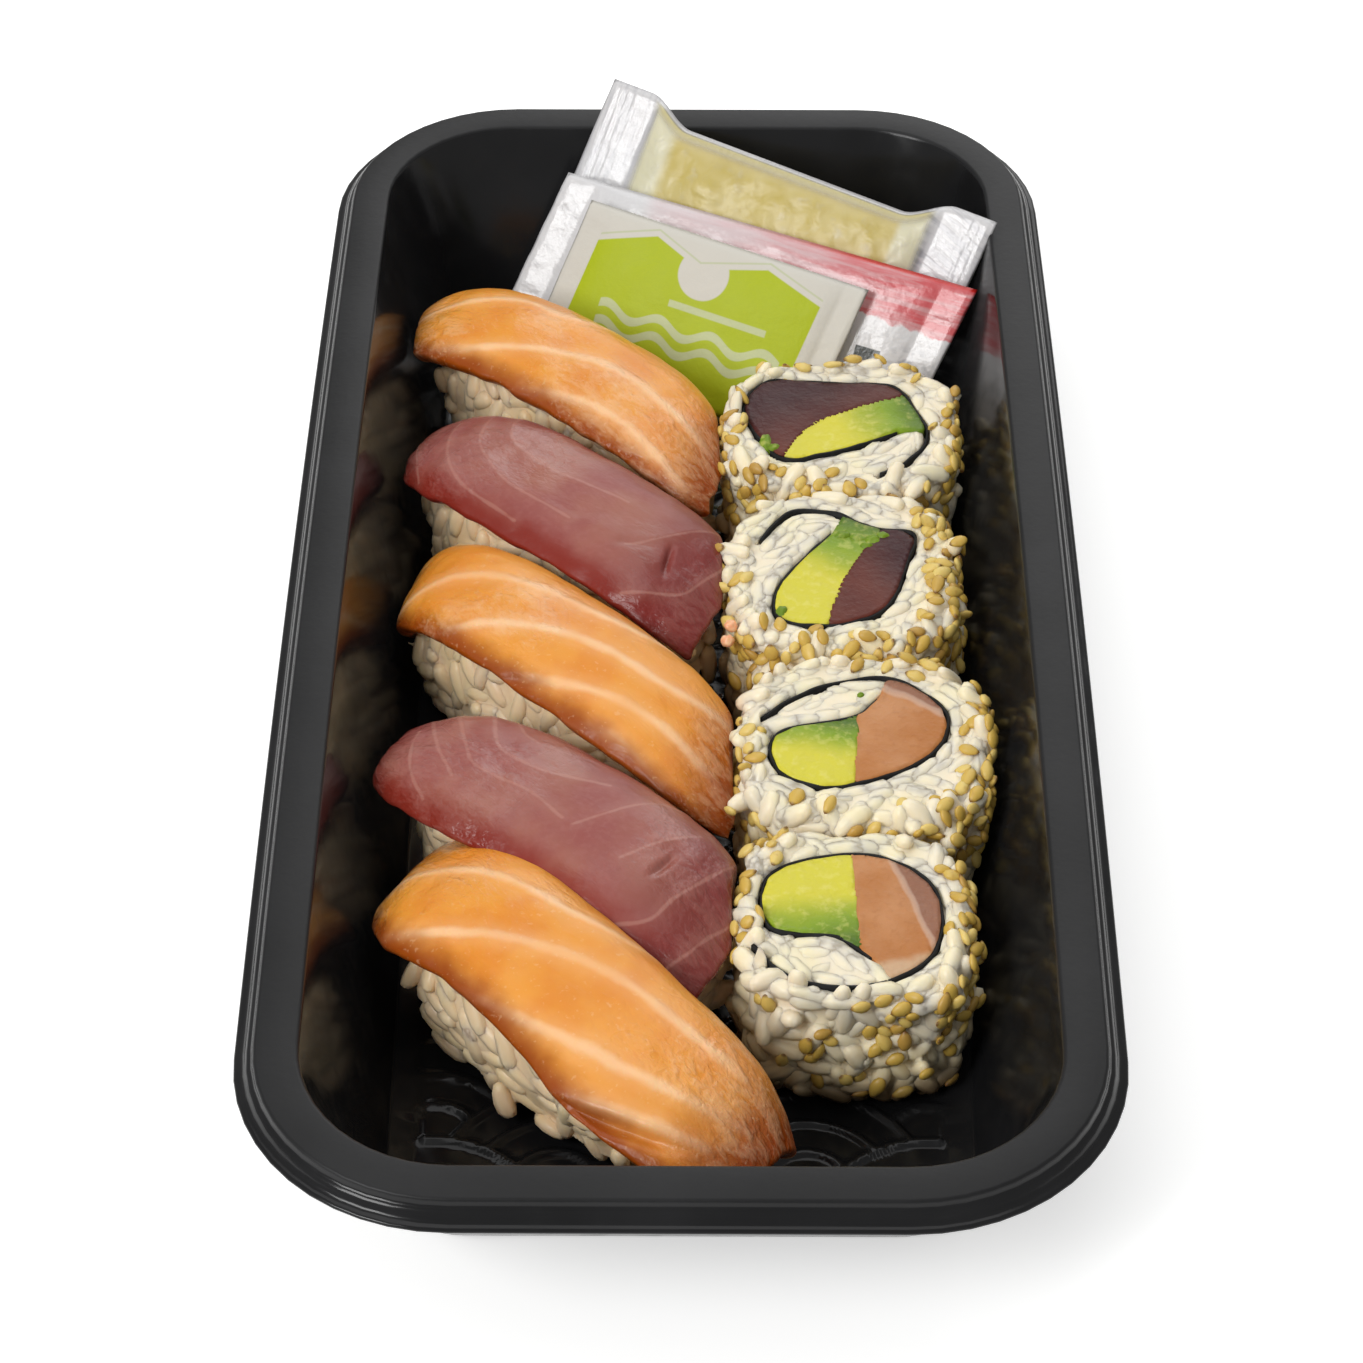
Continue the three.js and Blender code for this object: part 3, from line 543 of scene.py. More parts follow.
def inside_block(x, y, block, edge):
    """1 inside one of the four corner blocks of the floor, 0 outside, with a short slope."""
    out_x = np.abs(np.abs(x) - block["x"]) - block["width"] / 2
    out_y = np.abs(np.abs(y) - block["y"]) - block["length"] / 2
    corner = np.hypot(np.maximum(out_x + 0.8, 0), np.maximum(out_y + 0.8, 0)) - 0.8
    return 1 - smoothstep(np.maximum(corner, np.maximum(out_x, out_y)), edge, edge + 0.45)


def wall_inset(height):
    down = 1 - height / DEPTH
    return (FLANGE + (FLOOR_INSET_X - FLANGE) * down, FLANGE + (FLOOR_INSET_Y - FLANGE) * down)


def rounded_corners(points, radius, steps):
    """A profile with each corner turned into a short curve."""
    points = np.array(points, float)
    curve = [points[0]]
    for before, corner, after in zip(points[:-2], points[1:-1], points[2:]):
        length_in, length_out = np.linalg.norm(before - corner), np.linalg.norm(after - corner)
        start = corner + (before - corner) * min(radius / length_in, 0.5)
        end = corner + (after - corner) * min(radius / length_out, 0.5)
        for t in np.linspace(0, 1, steps):
            curve.append((1 - t) ** 2 * start + 2 * t * (1 - t) * corner + t * t * end)
    curve.append(points[-1])
    return np.array(curve)


def tray_profile():
    """Levels from under the floor's middle, round the rim, to the middle of the floor."""
    def wall(height, inward, drop=0.0):
        inset_x, inset_y = wall_inset(height)
        return (inset_x + inward, inset_y + inward, FLOOR_TOP + height - drop)

    def rim(inset, down):
        return (inset, inset, RIM_TOP - down)

    def level(height, insets):
        lag = FLOOR_INSET_Y - FLOOR_INSET_X
        return [(inset, inset + lag, height) for inset in insets]

    middle = SHOULDER_X - 0.06
    under = level(FLOOR_TOP - SHEET, [*np.linspace(middle, 20, 12), *np.linspace(19.6, 16.9, 9)])
    shell = [wall(0, 2.2, SHEET), wall(0.6, 0.2, SHEET), wall(2.8, -SHEET),
             rim(FLANGE - SHEET, SHEET + 0.5), rim(FLANGE - SHEET - 0.5, SHEET), rim(0.8, SHEET),
             rim(0.2, 2.0), rim(-0.7, 3.2), rim(-2.5, 3.3), rim(-2.5, 2.7), rim(-1.3, 2.45),
             rim(-0.85, 1.35), rim(-0.15, 1.15), rim(0, 0), rim(FLANGE, 0), wall(3, 0),
             wall(0.5, 0.2), wall(0, WALL_BEND)]
    rounded = rounded_corners(shell, 0.7, 4)
    steps = []
    for before, after in zip(rounded[:-1], rounded[1:]):
        count = max(int(np.linalg.norm(after - before) / 3.5), 1)
        steps += [before + (after - before) * k / count for k in range(count)]
    return np.array(under + steps + level(FLOOR_TOP, np.linspace(FLOOR_INSET_X + WALL_BEND, middle, 80)))


def ring_place():
    """For each step round a ring: its place along the sides, from -1 to 1, and its corner's angle."""
    corners = ((1, 1), (-1, 1), (-1, -1), (1, -1))
    corner_steps, short_steps, long_steps = 12, 84, 184
    rows = []
    for quarter, (sx, sy) in enumerate(corners):
        for i in range(corner_steps):
            rows.append((sx, sy, (quarter + i / corner_steps) * np.pi / 2))
        long_side = quarter % 2
        count = long_steps if long_side else short_steps
        ahead = corners[(quarter + 1) % 4]
        for i in range(count):
            t = 2 * i / count - 1
            t = 0.35 * t + 0.65 * np.sin(np.pi * t / 2) if long_side else t
            along = (t + 1) / 2
            x, y = sx + (ahead[0] - sx) * along, sy + (ahead[1] - sy) * along
            rows.append((x, y, (quarter + 1) * np.pi / 2))
    return np.array(rows)


def floor_relief(x, y, radius, rib):
    """Ribs along overlapping scales, from 0 between them to 1 on them."""
    ribs = np.zeros_like(x)
    taken = np.zeros_like(x, bool)
    rows = int(FLOOR_REACH / (radius / 2))
    for row in range(-rows, rows + 1):
        centre_y = row * radius / 2 - radius
        offset = radius if row % 2 else 0
        centre_x = np.round((x - offset) / (2 * radius)) * 2 * radius + offset
        away = np.hypot(x - centre_x, y - centre_y)
        here = (away < radius) & ~taken
        for share in RIB_SHARES:
            crest = 1 - smoothstep(np.abs(away - share * radius), rib * 0.2, rib * 0.62)
            ribs = np.where(here, np.maximum(ribs, crest), ribs)
        taken |= here
    return ribs


def build_tray(settings):
    profile = tray_profile()
    around = ring_place()
    inset_x, inset_y, level = (profile[:, k][:, None] for k in range(3))
    half_x, half_y = SHOULDER_X - inset_x, SHOULDER_Y - inset_y
    radius = np.minimum(np.maximum(SHOULDER_CORNER - inset_x, 0.02), half_x)
    x = around[:, 0] * (half_x - radius) + radius * np.cos(around[:, 2])
    y = around[:, 1] * (half_y - radius) + radius * np.sin(around[:, 2])
    x = x + BOW * (x / half_x) * (1 - (y / half_y) ** 2)
    z = np.broadcast_to(level, x.shape).copy()
    inner = (np.arange(len(profile)) > np.argmax(profile[:, 2]))[:, None]
    floor = inner & (z < FLOOR_TOP + 0.01)
    edge = smoothstep(np.broadcast_to(inset_x, x.shape), FLOOR_INSET_X + WALL_BEND, FLOOR_INSET_X + 4.6)
    ribs = floor_relief(x, y, settings.scale_size / MM, settings.rib / MM)
    z -= np.where(floor, settings.relief / MM * edge * (1 - ribs), 0)
    pocket = np.where(inner & (z < FLOOR_TOP + 1), inside_block(x, y, FOOT, -SHEET - 0.3), 0)
    lug = inside_block(x, y, LUG, -0.1)
    z += pocket * (SHEET + (LUG["top"] - SHEET) * lug - z)
    foot = np.where(~inner & (z < FLOOR_TOP), inside_block(x, y, FOOT, -0.45), 0)
    z -= foot * z

    def shape(across, up):
        column = np.rint((across + 1) / 2 * x.shape[1]).astype(int) % x.shape[1]
        row = np.rint((up + 1) / 2 * (x.shape[0] - 1)).astype(int)
        return np.stack([x[row, column], y[row, column], z[row, column]], 1)

    piece, _ = shaped_grid("tray_shell", (x.shape[1], x.shape[0] - 1), shape)
    with editing(piece):
        bpy.ops.mesh.remove_doubles(threshold=1e-5)
        bpy.ops.mesh.select_all(action="DESELECT")
        bpy.ops.mesh.select_non_manifold()
        bpy.ops.mesh.fill_holes(sides=0)
        bpy.ops.mesh.select_all(action="SELECT")
        turn_outward()
    finish_piece(piece, tray_material(settings), "tray", "tray")


def tray_material(settings):
    s = Shader("formed_sheet")
    place = s.place()
    rim = s.axes(place)[2].ease((RIM_TOP - 0.5) * MM, (RIM_TOP - 0.1) * MM)
    speckle, cloud, smear = s.noise(place, 900, 3), s.noise(place, 60, 2), s.noise(place, 240, 4)
    inside = 0.12 + smear.ease(0.45, 0.75) * 0.12
    return s.done(
        colour=s.layers(settings.colour, (cloud.ease(0.3, 0.7), np.array(settings.colour) * 1.5)),
        roughness=inside + rim * (0.42 - inside) + speckle * 0.05,
        normal=s.bump(speckle * (0.25 + rim) + cloud * 2, 0.05, 0.5), specular=0.25)


# ---- fish ----


def bend(u, half, before, after):
    """A strip bent away from its flat middle: how far along and how far down it is at u."""
    steps = 12
    reach = np.abs(u)
    drop = np.radians(np.where(u < 0, before, after))
    along = np.zeros_like(u)
    down = np.zeros_like(u)
    for i in range(steps):
        angle = drop * ((i + 0.5) / steps * reach) ** 2.2
        along += np.cos(angle) * reach * half / steps
        down += np.sin(angle) * reach * half / steps
    return np.sign(u) * along, -down


def slice_place(piece, u, v):
    """The slice's upper face in the tray's frame: u runs along it and v across it."""
    left, right, near, far = piece["drop"]
    length, width = piece["size"]
    narrow = np.where(u < 0, *piece["narrow"])
    taper = np.sqrt(np.maximum(1 - narrow * np.abs(u) ** 4, 0.02))
    x, down_x = bend(u, length / 2, left, right)
    y, down_y = bend(v, width / 2, near, far)
    across = y * taper
    for middle, reach, amount in piece.get("flare", ()):
        across = across - amount * np.exp(-((u - middle) / reach) ** 2) * smoothstep(-v, 0, 1)
    along = x + piece["slant"] * across * np.abs(u) ** 1.5
    across = across + piece["arc"] * u * u
    world_x, world_y = turned(along, across, piece["turn"])
    z = FLOOR_TOP + piece["top"] + down_x + down_y * taper
    return np.stack([world_x + piece["place"][0], world_y + piece["place"][1], z], 1)


def keep_out(co):
    """Pushes fish off the rolls and the tray's left and front walls, as soft food gives way."""
    soft = 0.5
    limit = np.full(len(co), 200.0)
    for roll in ROLLS.values():
        half_x, half_y = (half + GAP_TO_ROLL for half in roll["half"])
        off = np.abs(co[:, 1] - roll["place"][1]) / half_y
        reach = half_x * np.clip(1 - off ** ROLL_SQUARENESS, 0, 1) ** (1 / ROLL_SQUARENESS)
        limit = np.where(off < 1, np.minimum(limit, roll["place"][0] - reach), limit)
    over = (co[:, 0] - limit) / soft
    co[:, 0] = limit - soft * np.logaddexp(0, -over)
    insets = wall_inset(co[:, 2] - FLOOR_TOP)
    for axis, shoulder in enumerate((SHOULDER_X, SHOULDER_Y)):
        wall = shoulder - insets[axis] - FISH_ROOM
        co[:, axis] = soft * np.logaddexp(0, (co[:, axis] + wall) / soft) - wall
    return co


def smooth_line(points, count):
    """A smooth curve through a few points, as evenly spaced places along it."""
    points = np.array(points, float)
    points = np.vstack([2 * points[0] - points[1], points, 2 * points[-1] - points[-2]])
    curve = []
    for p0, p1, p2, p3 in zip(points[:-3], points[1:-2], points[2:-1], points[3:]):
        t1 = np.linalg.norm(p1 - p0) ** 0.5
        t2 = t1 + np.linalg.norm(p2 - p1) ** 0.5
        t3 = t2 + np.linalg.norm(p3 - p2) ** 0.5
        for t in np.linspace(t1, t2, 16, endpoint=False):
            a1 = (t1 - t) / t1 * p0 + t / t1 * p1
            a2 = (t2 - t) / (t2 - t1) * p1 + (t - t1) / (t2 - t1) * p2
            a3 = (t3 - t) / (t3 - t2) * p2 + (t - t2) / (t3 - t2) * p3
            b1 = (t2 - t) / t2 * a1 + t / t2 * a2
            b2 = (t3 - t) / (t3 - t1) * a2 + (t - t1) / (t3 - t1) * a3
            curve.append((t2 - t) / (t2 - t1) * b1 + (t - t1) / (t2 - t1) * b2)
    curve.append(points[-2])
    curve = np.array(curve)
    run = np.concatenate([[0], np.cumsum(np.linalg.norm(np.diff(curve, axis=0), axis=1))])
    even = np.linspace(0, run[-1], count)
    return np.stack([np.interp(even, run, curve[:, k]) for k in range(2)], 1)


def nearest(places_2d, line):
    """How far each place is from a line, the index of the nearest point of it, and the way there."""
    away = places_2d[:, None, :] - line[None, :, :]
    index = (away ** 2).sum(2).argmin(1)
    away = away[np.arange(len(places_2d)), index]
    run = np.gradient(line, axis=0)
    step = np.linalg.norm(run, axis=1)
    along = (away * run[index]).sum(1) / step[index]
    along = np.clip(along, -step[index] / 2, step[index] / 2)
    away = away - run[index] / step[index][:, None] * along[:, None]
    return np.linalg.norm(away, axis=1), index, away


def build_slice(name, material, slot):
    sizes = NIGIRI[name]
    half = np.array(sizes["size"]) / 2
    piece, flat = shaped_grid(f"{name}_slice", (58, 24), lambda u, v: slice_place(sizes, u * SLICE_END, v))
    set_uv(piece, flat[:, :2] * half)
    edge = np.maximum(np.abs(flat[:, 0]) ** 6, np.abs(flat[:, 1]) ** 3)
    thick = SLICE_THICKNESS + (SLICE_RIM - SLICE_THICKNESS) * edge
    seed = list(NIGIRI).index(name) * 7.3
    spine = np.append(flat[:, :2] * half, np.zeros((len(flat), 1)), 1)
    ragged = 0.5 * rough(spine, 5, seed) + 0.3 * rough(spine, 2.2, seed)
    outward = np.sign(flat) * np.abs(flat) ** 8
    outward[:, 2] = 0
    place_all(piece, places(piece) + ragged[:, None] * outward)
    group = piece.vertex_groups.new(name="thick")
    for index, value in enumerate(thick / SLICE_THICKNESS):
        group.add([index], float(value), "REPLACE")
    modify(piece, "SOLIDIFY", thickness=SLICE_THICKNESS * MM, offset=-1, vertex_group="thick",
           thickness_vertex_group=0.0)
    modify(piece, "SUBSURF", levels=2, render_levels=2)
    cut = flat_places(piece)
    upper = smoothstep(normals(piece)[:, 2], -0.1, 0.3)
    co = places(piece)
    lumps = 0.3 * rough(co, 9, seed) + 0.12 * rough(co, 3.2, seed + 3)
    for start, end, depth, width in sizes["creases"]:
        lumps -= crease(cut, np.array(start) * half, np.array(end) * half, depth, width) * upper
    lines = [smooth_line(np.array(points) * half, 50) for points in sizes["lines"]]
    fat = np.min([nearest(cut, line)[0] for line in lines], 0)
    lumps += 0.1 * np.exp(-(fat / 0.9) ** 2) * upper
    swell(piece, lumps)
    place_all(piece, keep_out(places(piece)))
    set_attribute(piece, "fat", fat)
    for axis, key in enumerate(("along_share", "across_share")):
        set_attribute(piece, key, cut[:, axis] / half[axis])
    with editing(piece):
        turn_outward()
    finish_piece(piece, material, slot, f"nigiri_{name}_fish")


def flat_places(piece):
    """Each vertex's place on the UV map, in mm along and across the slice."""
    flat = np.zeros((len(piece.data.vertices), 2))
    flat[corners_of(piece.data)] = read(piece.data.uv_layers.active.data, "uv", 2)
    return flat


def crease(cut, start, end, depth, width):
    """A pressed line between two places, deepest at its middle."""
    along = end - start
    share = np.clip((cut - start) @ along / (along @ along), 0, 1)
    away = np.linalg.norm(cut - start - share[:, None] * along, axis=1)
    return depth * np.exp(-(away / width) ** 2) * np.sin(np.pi * (0.08 + 0.84 * share))


def wet_wrinkles(s, along, across, place, end):
    """Where raw fish is wet and wrinkled, and how high its wrinkles stand."""
    fold = s.noise(s.vector(along * 0.2, across * 0.4, 0.0), 1.0, 2, 0.8)
    small = s.noise(s.vector(along * 0.9, across * 1.35, 0.0), 1.0, 3, 0.4)
    patch = s.noise(place, 42, 1).ease(0.44, 0.6).most(abs(end).ease(0.62, 0.85))
    return patch, fold * (0.5 + patch) + small * (0.18 + patch * 0.75)


def salmon_material(settings):
    s = Shader("salmon_flesh")
    along, across, _ = s.axes(s.map())
    place = s.place()
    end, side = s.attribute("along_share"), s.attribute("across_share")
    wobble = s.noise(place, 260, 2) - 0.5
    away = s.attribute("fat") + wobble * 1.1
    core, halo = 1 - away.ease(0.1, 1.2), 1 - away.ease(0.2, 3.4)
    strength = s.noise(place, 75, 1).ease(0.3, 0.62)
    # Painted shade: the near edge and the right end, where the slice curls down by the rolls, turn dark,
    # and the left tip a little.
    near = (0 - side + wobble * 0.2).ease(0.6, 0.95)
    right = (end + wobble * 0.15).ease(0.6, 0.95)
    painted_edge_shade = (near * 0.92).most(right * 0.97).most((0 - end).ease(0.86, 1.0) * 0.5)
    patch, height = wet_wrinkles(s, along, across, place, end)
    flesh = s.layers(
        settings.salmon,
        (s.noise(place, 110, 3).ease(0.38, 0.68), np.array(settings.salmon) * (0.93, 0.80, 0.62)),
        (halo * 0.22, settings.salmon_fat), (core * (0.42 + strength * 0.4), settings.salmon_fat),
        (painted_edge_shade, (0.28, 0.042, 0.001)),
        ((side + wobble * 0.05).ease(0.9, 0.97) * 0.5, (0.86, 0.62, 0.42)),
        # Painted highlight: the ridges of the wet wrinkles are lighter.
        (height.ease(1.0, 1.5) * patch * 0.22, (0.93, 0.62, 0.36)),
        (s.noise(place, 1300, 2).ease(0.62, 0.75) * 0.2, (0.9, 0.62, 0.36)))
    return s.done(colour=flesh, roughness=0.34 - patch * 0.1, specular=0.34, ior=1.4,
                  normal=s.bump(height + core * 0.15, 0.45, 0.7),
                  soft=0.22, reach=(1.0, 0.4, 0.12), scale=0.0015,
                  coat=(0.06 + patch * 0.34) * (1 - near.most(right) * 0.7), coat_roughness=0.16)


def tuna_material(settings):
    s = Shader("tuna_flesh")
    along, across, _ = s.axes(s.map())
    place = s.place()
    end, side = s.attribute("along_share"), s.attribute("across_share")
    wobble = s.noise(place, 400, 2) - 0.5
    away = s.attribute("fat") + wobble * 0.45
    core, halo = 1 - away.ease(0.05, 0.38), 1 - away.ease(0.2, 2.2)
    cloud = s.noise(place, 75, 3)
    # Painted shade darkens the near edge and the right end, where the slice dips by the rolls; the far
    # edge and the left end darken too.
    near = (0 - side + wobble * 0.15).ease(0.5, 0.85)
    right, left = (end + cloud * 0.25).ease(0.45, 0.95), (0 - end).ease(0.85, 1.0)
    rim = side.ease(0.7, 1.0).most(right).most(left)
    patch, height = wet_wrinkles(s, along, across, place, end)
    flesh = s.layers(
        settings.tuna,
        (cloud.ease(0.36, 0.68), (0.35, 0.125, 0.085)),
        (s.noise(place, 1100, 3).ease(0.4, 0.75) * 0.3, (0.38, 0.135, 0.115)),
        (near * 0.92, (0.22, 0.018, 0.009)), (rim * 0.8, (0.17, 0.013, 0.011)),
        (halo * 0.08 + core * 0.3, (0.54, 0.28, 0.22)),
        # Painted highlight: the ridges of the wet wrinkles are lighter.
        (height.ease(1.0, 1.5) * patch * 0.15, (0.50, 0.24, 0.20)))
    return s.done(colour=flesh, roughness=0.36 - patch * 0.1, specular=0.4, ior=1.4,
                  normal=s.bump(height - core * 0.08, 0.4, 0.6),
                  soft=0.18, reach=(1.0, 0.25, 0.15), scale=0.0014,
                  coat=(0.05 + patch * 0.3) * (1 - near * 0.6), coat_roughness=0.17)


# ---- rice and seeds ----


def ball_along_x():
    """A ball with its poles on the X axis, and its vertices' places."""
    piece = added(bpy.ops.mesh.primitive_uv_sphere_add, segments=8, ring_count=6, radius=1)
    return piece, (places(piece) * MM)[:, (2, 0, 1)]


def grain_shape(settings):
    """One cooked grain along X: blunt ends and a slight bend."""
    piece, co = ball_along_x()
    along = co[:, 0]
    body = np.sign(along) * np.abs(along) ** 0.9
    girth = (1 + 0.08 * np.sin(2.2 * along)) * np.clip(1 - along * along, 0.001, 1) ** -0.13
    co = np.stack([body * settings.length / MM / 2, co[:, 1] * girth * settings.width / MM / 2,
                   co[:, 2] * girth * settings.width / MM / 2 * 0.86], 1)
    co[:, 1] += 0.3 * (1 - along * along) - 0.15
    place_all(piece, co)
    return piece


def seed_shape(settings):
    """One sesame seed along X: flat, round at one end and pointed at the other."""
    piece, co = ball_along_x()
    taper = 1 - 0.38 * smoothstep(co[:, 0], -0.2, 1.05)
    length = settings.seed_length / MM
    place_all(piece, np.stack([co[:, 0] * length / 2, co[:, 1] * taper * length * 0.33,
                               co[:, 2] * taper * length * 0.2], 1))
    return piece


def spread(points, spacing, order):
    """Indices of points taken in an order, none closer than the spacing to one before it."""
    kept = []
    near = {}
    cells = np.floor(points / spacing).astype(int)
    for index in order:
        x, y, z = cells[index]
        around = [other for i in (x - 1, x, x + 1) for j in (y - 1, y, y + 1) for k in (z - 1, z, z + 1)
                  for other in near.get((i, j, k), ())]
        if around and np.min(((points[around] - points[index]) ** 2).sum(1)) < spacing ** 2:
            continue
        near.setdefault((x, y, z), []).append(index)
        kept.append(index)
    return np.array(kept, int)


def laid_axes(normal, draw, tilt, along=None):
    """Axes for things on a surface: along it, at random unless given, then across it and out of it."""
    helper = np.where(np.abs(normal[:, 2:3]) > 0.8, [[1.0, 0, 0]], [[0, 0, 1.0]])
    first = unit(np.cross(normal, helper))
    angle = draw.uniform(0, 2 * np.pi, len(normal))[:, None]
    chosen = first * np.cos(angle) + np.cross(normal, first) * np.sin(angle)
    if along is not None:
        chosen = np.where(np.isnan(along), chosen, along)
    chosen = unit(chosen + normal * draw.normal(0, tilt, len(normal))[:, None])
    across = unit(np.cross(normal, chosen))
    return np.stack([chosen, across, np.cross(chosen, across)], 2)


def strewn(name, template, middles, axes, sizes, shades):
    """One mesh of many copies of a template, each with its own place, turn, size and shade."""
    base = places(template)
    count = len(middles)
    scaled = base[None, :, :] * sizes[:, None, :]
    co = np.einsum("nij,nkj->nki", axes, scaled) + middles[:, None, :]
    corners = (corners_of(template.data)[None, :] + np.arange(count)[:, None] * len(base)).ravel()
    sides = np.tile(read(template.data.polygons, "loop_total", 1, int).ravel(), count)
    mesh = bpy.data.meshes.new(name)
    mesh.vertices.add(count * len(base))
    mesh.loops.add(len(corners))
    mesh.polygons.add(len(sides))
    mesh.vertices.foreach_set("co", (co * MM).ravel())
    mesh.loops.foreach_set("vertex_index", corners)
    mesh.polygons.foreach_set("loop_start", np.concatenate([[0], np.cumsum(sides)[:-1]]))
    mesh.update(calc_edges=True)
    piece = bpy.data.objects.new(name, mesh)
    bpy.context.scene.collection.objects.link(piece)
    set_attribute(piece, "shade", np.repeat(shades, len(base)))
    set_attribute(piece, "tip", np.tile(base[:, 0] / np.abs(base[:, 0]).max(), count))
    return piece


def lay_grains(name, template, core, shown, draw, spacing, lift, tilt, size=1.0, roll=None):
    """Grains over the faces of a core that show, with the middle and the axes of each."""
    middle, normal = faces_of(core)
    chosen = shown(middle, normal)
    middle, normal = middle[chosen], normal[chosen]
    chosen = spread(middle, spacing / MM, draw.permutation(len(middle)))
    middle, normal = middle[chosen], normal[chosen]
    count = len(middle)
    middle = middle + normal * draw.uniform(*lift, count)[:, None]
    middle[:, 2] = np.maximum(middle[:, 2], FOOD_FLOOR + GRAIN_HALF)
    along = along_nori(middle, normal, roll, draw) if roll else None
    axes = laid_axes(normal, draw, tilt, along)
    girth = draw.uniform(0.86, 1.1, count)
    length = draw.uniform(0.72, 1.14, count)
    sizes = size * np.stack([length, girth, girth * draw.uniform(0.9, 1.05, count)], 1)
    return strewn(name, template, middle, axes, sizes, draw.uniform(0, 1, count)), middle, axes


def keep_off_floor(co):
    co[:, 2] = np.maximum(co[:, 2], FLOOR_TOP + FLOOR_ROOM)
    return co


def keep_in_tray(piece):
    """Presses a piece in from the tray's walls, which curve inward at their foot, and off its floor."""
    co = keep_off_floor(places(piece))
    foot = 1 - smoothstep(co[:, 2], FLOOR_TOP + 0.5, FLOOR_TOP + 1.5)
    insets = wall_inset(co[:, 2] - FLOOR_TOP)
    for axis, shoulder in enumerate((SHOULDER_X, SHOULDER_Y)):
        room = shoulder - insets[axis] - WALL_ROOM - 2 * foot
        co[:, axis] = np.clip(co[:, axis], -room, room)
    place_all(piece, co)


def stuck_together(name, core, grains, middles, axes, half_length, sink, smooth):
    """One soft skin over a core and its grains, whose vertices know how far a grain's middle is."""
    copies = []
    for piece in grains:
        copies.append(piece.copy())
        copies[-1].data = piece.data.copy()
        bpy.context.scene.collection.objects.link(copies[-1])
        swell(copies[-1], np.full(len(piece.data.vertices), -sink))
    skin = joined(name, [core, *copies])
    remesh(skin, SKIN_VOXEL, smooth)
    keep_in_tray(skin)
    ends = axes[:, :, 0] * half_length * 0.55
    tree = tree_of(np.concatenate([middles - ends, middles, middles + ends]))
    set_attribute(skin, "off_grain", [tree.find(point)[2] for point in places(skin)])
    return skin


def roll_level(co, roll):
    """1 on the outline of a roll's cut face, less inside it."""
    off = np.abs(co[:, :2] - roll["place"]) / roll["half"]
    return (off[:, 0] ** ROLL_SQUARENESS + off[:, 1] ** ROLL_SQUARENESS) ** (1 / ROLL_SQUARENESS)


def build_nigiri_rice(settings, material, skin_material):
    template = grain_shape(settings)
    grains, nodes = [], []

    def shown(middle, normal):
        return (normal[:, 2] < 0.8) & (normal[:, 2] > -0.4) & (middle[:, 2] > FOOD_FLOOR + 2)

    for number, name in enumerate(NIGIRI):
        nodes.append(f"nigiri_{name}_rice")
        draw = np.random.default_rng(NIGIRI_DRAW + number)
        core = node_copy(f"{name}_core", nodes[-1], 0.6, 8)
        co = places(core)
        low = 1 - smoothstep(co[:, 2], FOOD_FLOOR, FOOD_FLOOR + 14)
        swell(core, 0.22 * rough(co, 1.8) - CORE_SHRINK - NIGIRI[name]["foot"] * low)
        piece, middle, axes = lay_grains(f"{name}_grains", template, core, shown, draw,
                                         settings.spacing * 1.32, lift=(-0.8, -0.1), tilt=0.12, size=1.1)
        keep_in_tray(piece)
        grains.append(piece)
        skin = stuck_together(f"{name}_rice", core, [piece], middle, axes, settings.length / MM / 2,
                              **NIGIRI_SKIN)
        finish_piece(skin, skin_material, "rice", nodes[-1])
    bpy.data.objects.remove(template)
    finish_piece(joined("nigiri_grains", grains), material, "rice", *nodes)


def nori_line(roll):
    """The seaweed's middle line in the tray's frame, and its direction at each point."""
    line = smooth_line(roll["nori"], 160) + roll["place"]
    return line, np.gradient(line, axis=0)


def along_nori(middle, normal, roll, draw):
    """Moves the grains of a cut face off the seaweed, and lines up those next to it."""
    line, tangent = nori_line(roll)
    distance, index, away = nearest(middle[:, :2], line)
    on_top = normal[:, 2] > 0.6
    slack = np.where(distance < 2.9, 0.2, 0.75) * draw.normal(0, 1, len(middle))
    x, y = turned(tangent[index, 0], tangent[index, 1], np.degrees(np.clip(slack, -0.9, 0.9)))
    heading = unit(np.stack([x, y, np.zeros(len(x))], 1))
    step = np.where(on_top, np.maximum(GRAIN_OFF_NORI - distance, 0), 0)
    middle[:, :2] += away / np.maximum(distance, 0.05)[:, None] * step[:, None]
    return np.where((on_top & (distance < 4.4))[:, None], heading, np.nan)


def press_off_nori(piece, middles, roll):
    """Presses grains flat against the seaweed beside them, so that none of them crosses it."""
    line, tangent = nori_line(roll)
    tangent = unit(tangent)
    across = np.stack([-tangent[:, 1], tangent[:, 0]], 1)
    co = places(piece)
    _, index, away = nearest(co[:, :2], line)
    _, home, home_away = nearest(middles[:, :2], line)
    each = len(co) // len(middles)
    side = np.repeat(np.sign((home_away * across[home]).sum(1)), each)
    off = (away * across[index]).sum(1)
    side = np.where(np.abs(index - np.repeat(home, each)) > 25, np.sign(off), side)
    beyond = np.abs((away * tangent[index]).sum(1)) > 0.3
    near = ~beyond & (co[:, 2] > ROLL_TOP - 4) & (np.abs(off) < 3)
    push = np.where(near, np.maximum(GRAIN_ROOM - off * side, 0), 0)
    co[:, :2] += across[index] * (push * side)[:, None]
    place_all(piece, co)


def groove_for_nori(skin, roll):
    """Sinks the rice along the seaweed, so that its edge shows."""
    co = places(skin)
    high = np.flatnonzero(co[:, 2] > ROLL_TOP - 2.5)
    distance = nearest(co[high, :2], nori_line(roll)[0])[0]
    co[high, 2] -= (1 - smoothstep(distance, 0.5, 0.85)) * np.maximum(co[high, 2] - ROLL_TOP + 1.3, 0)
    place_all(skin, co)


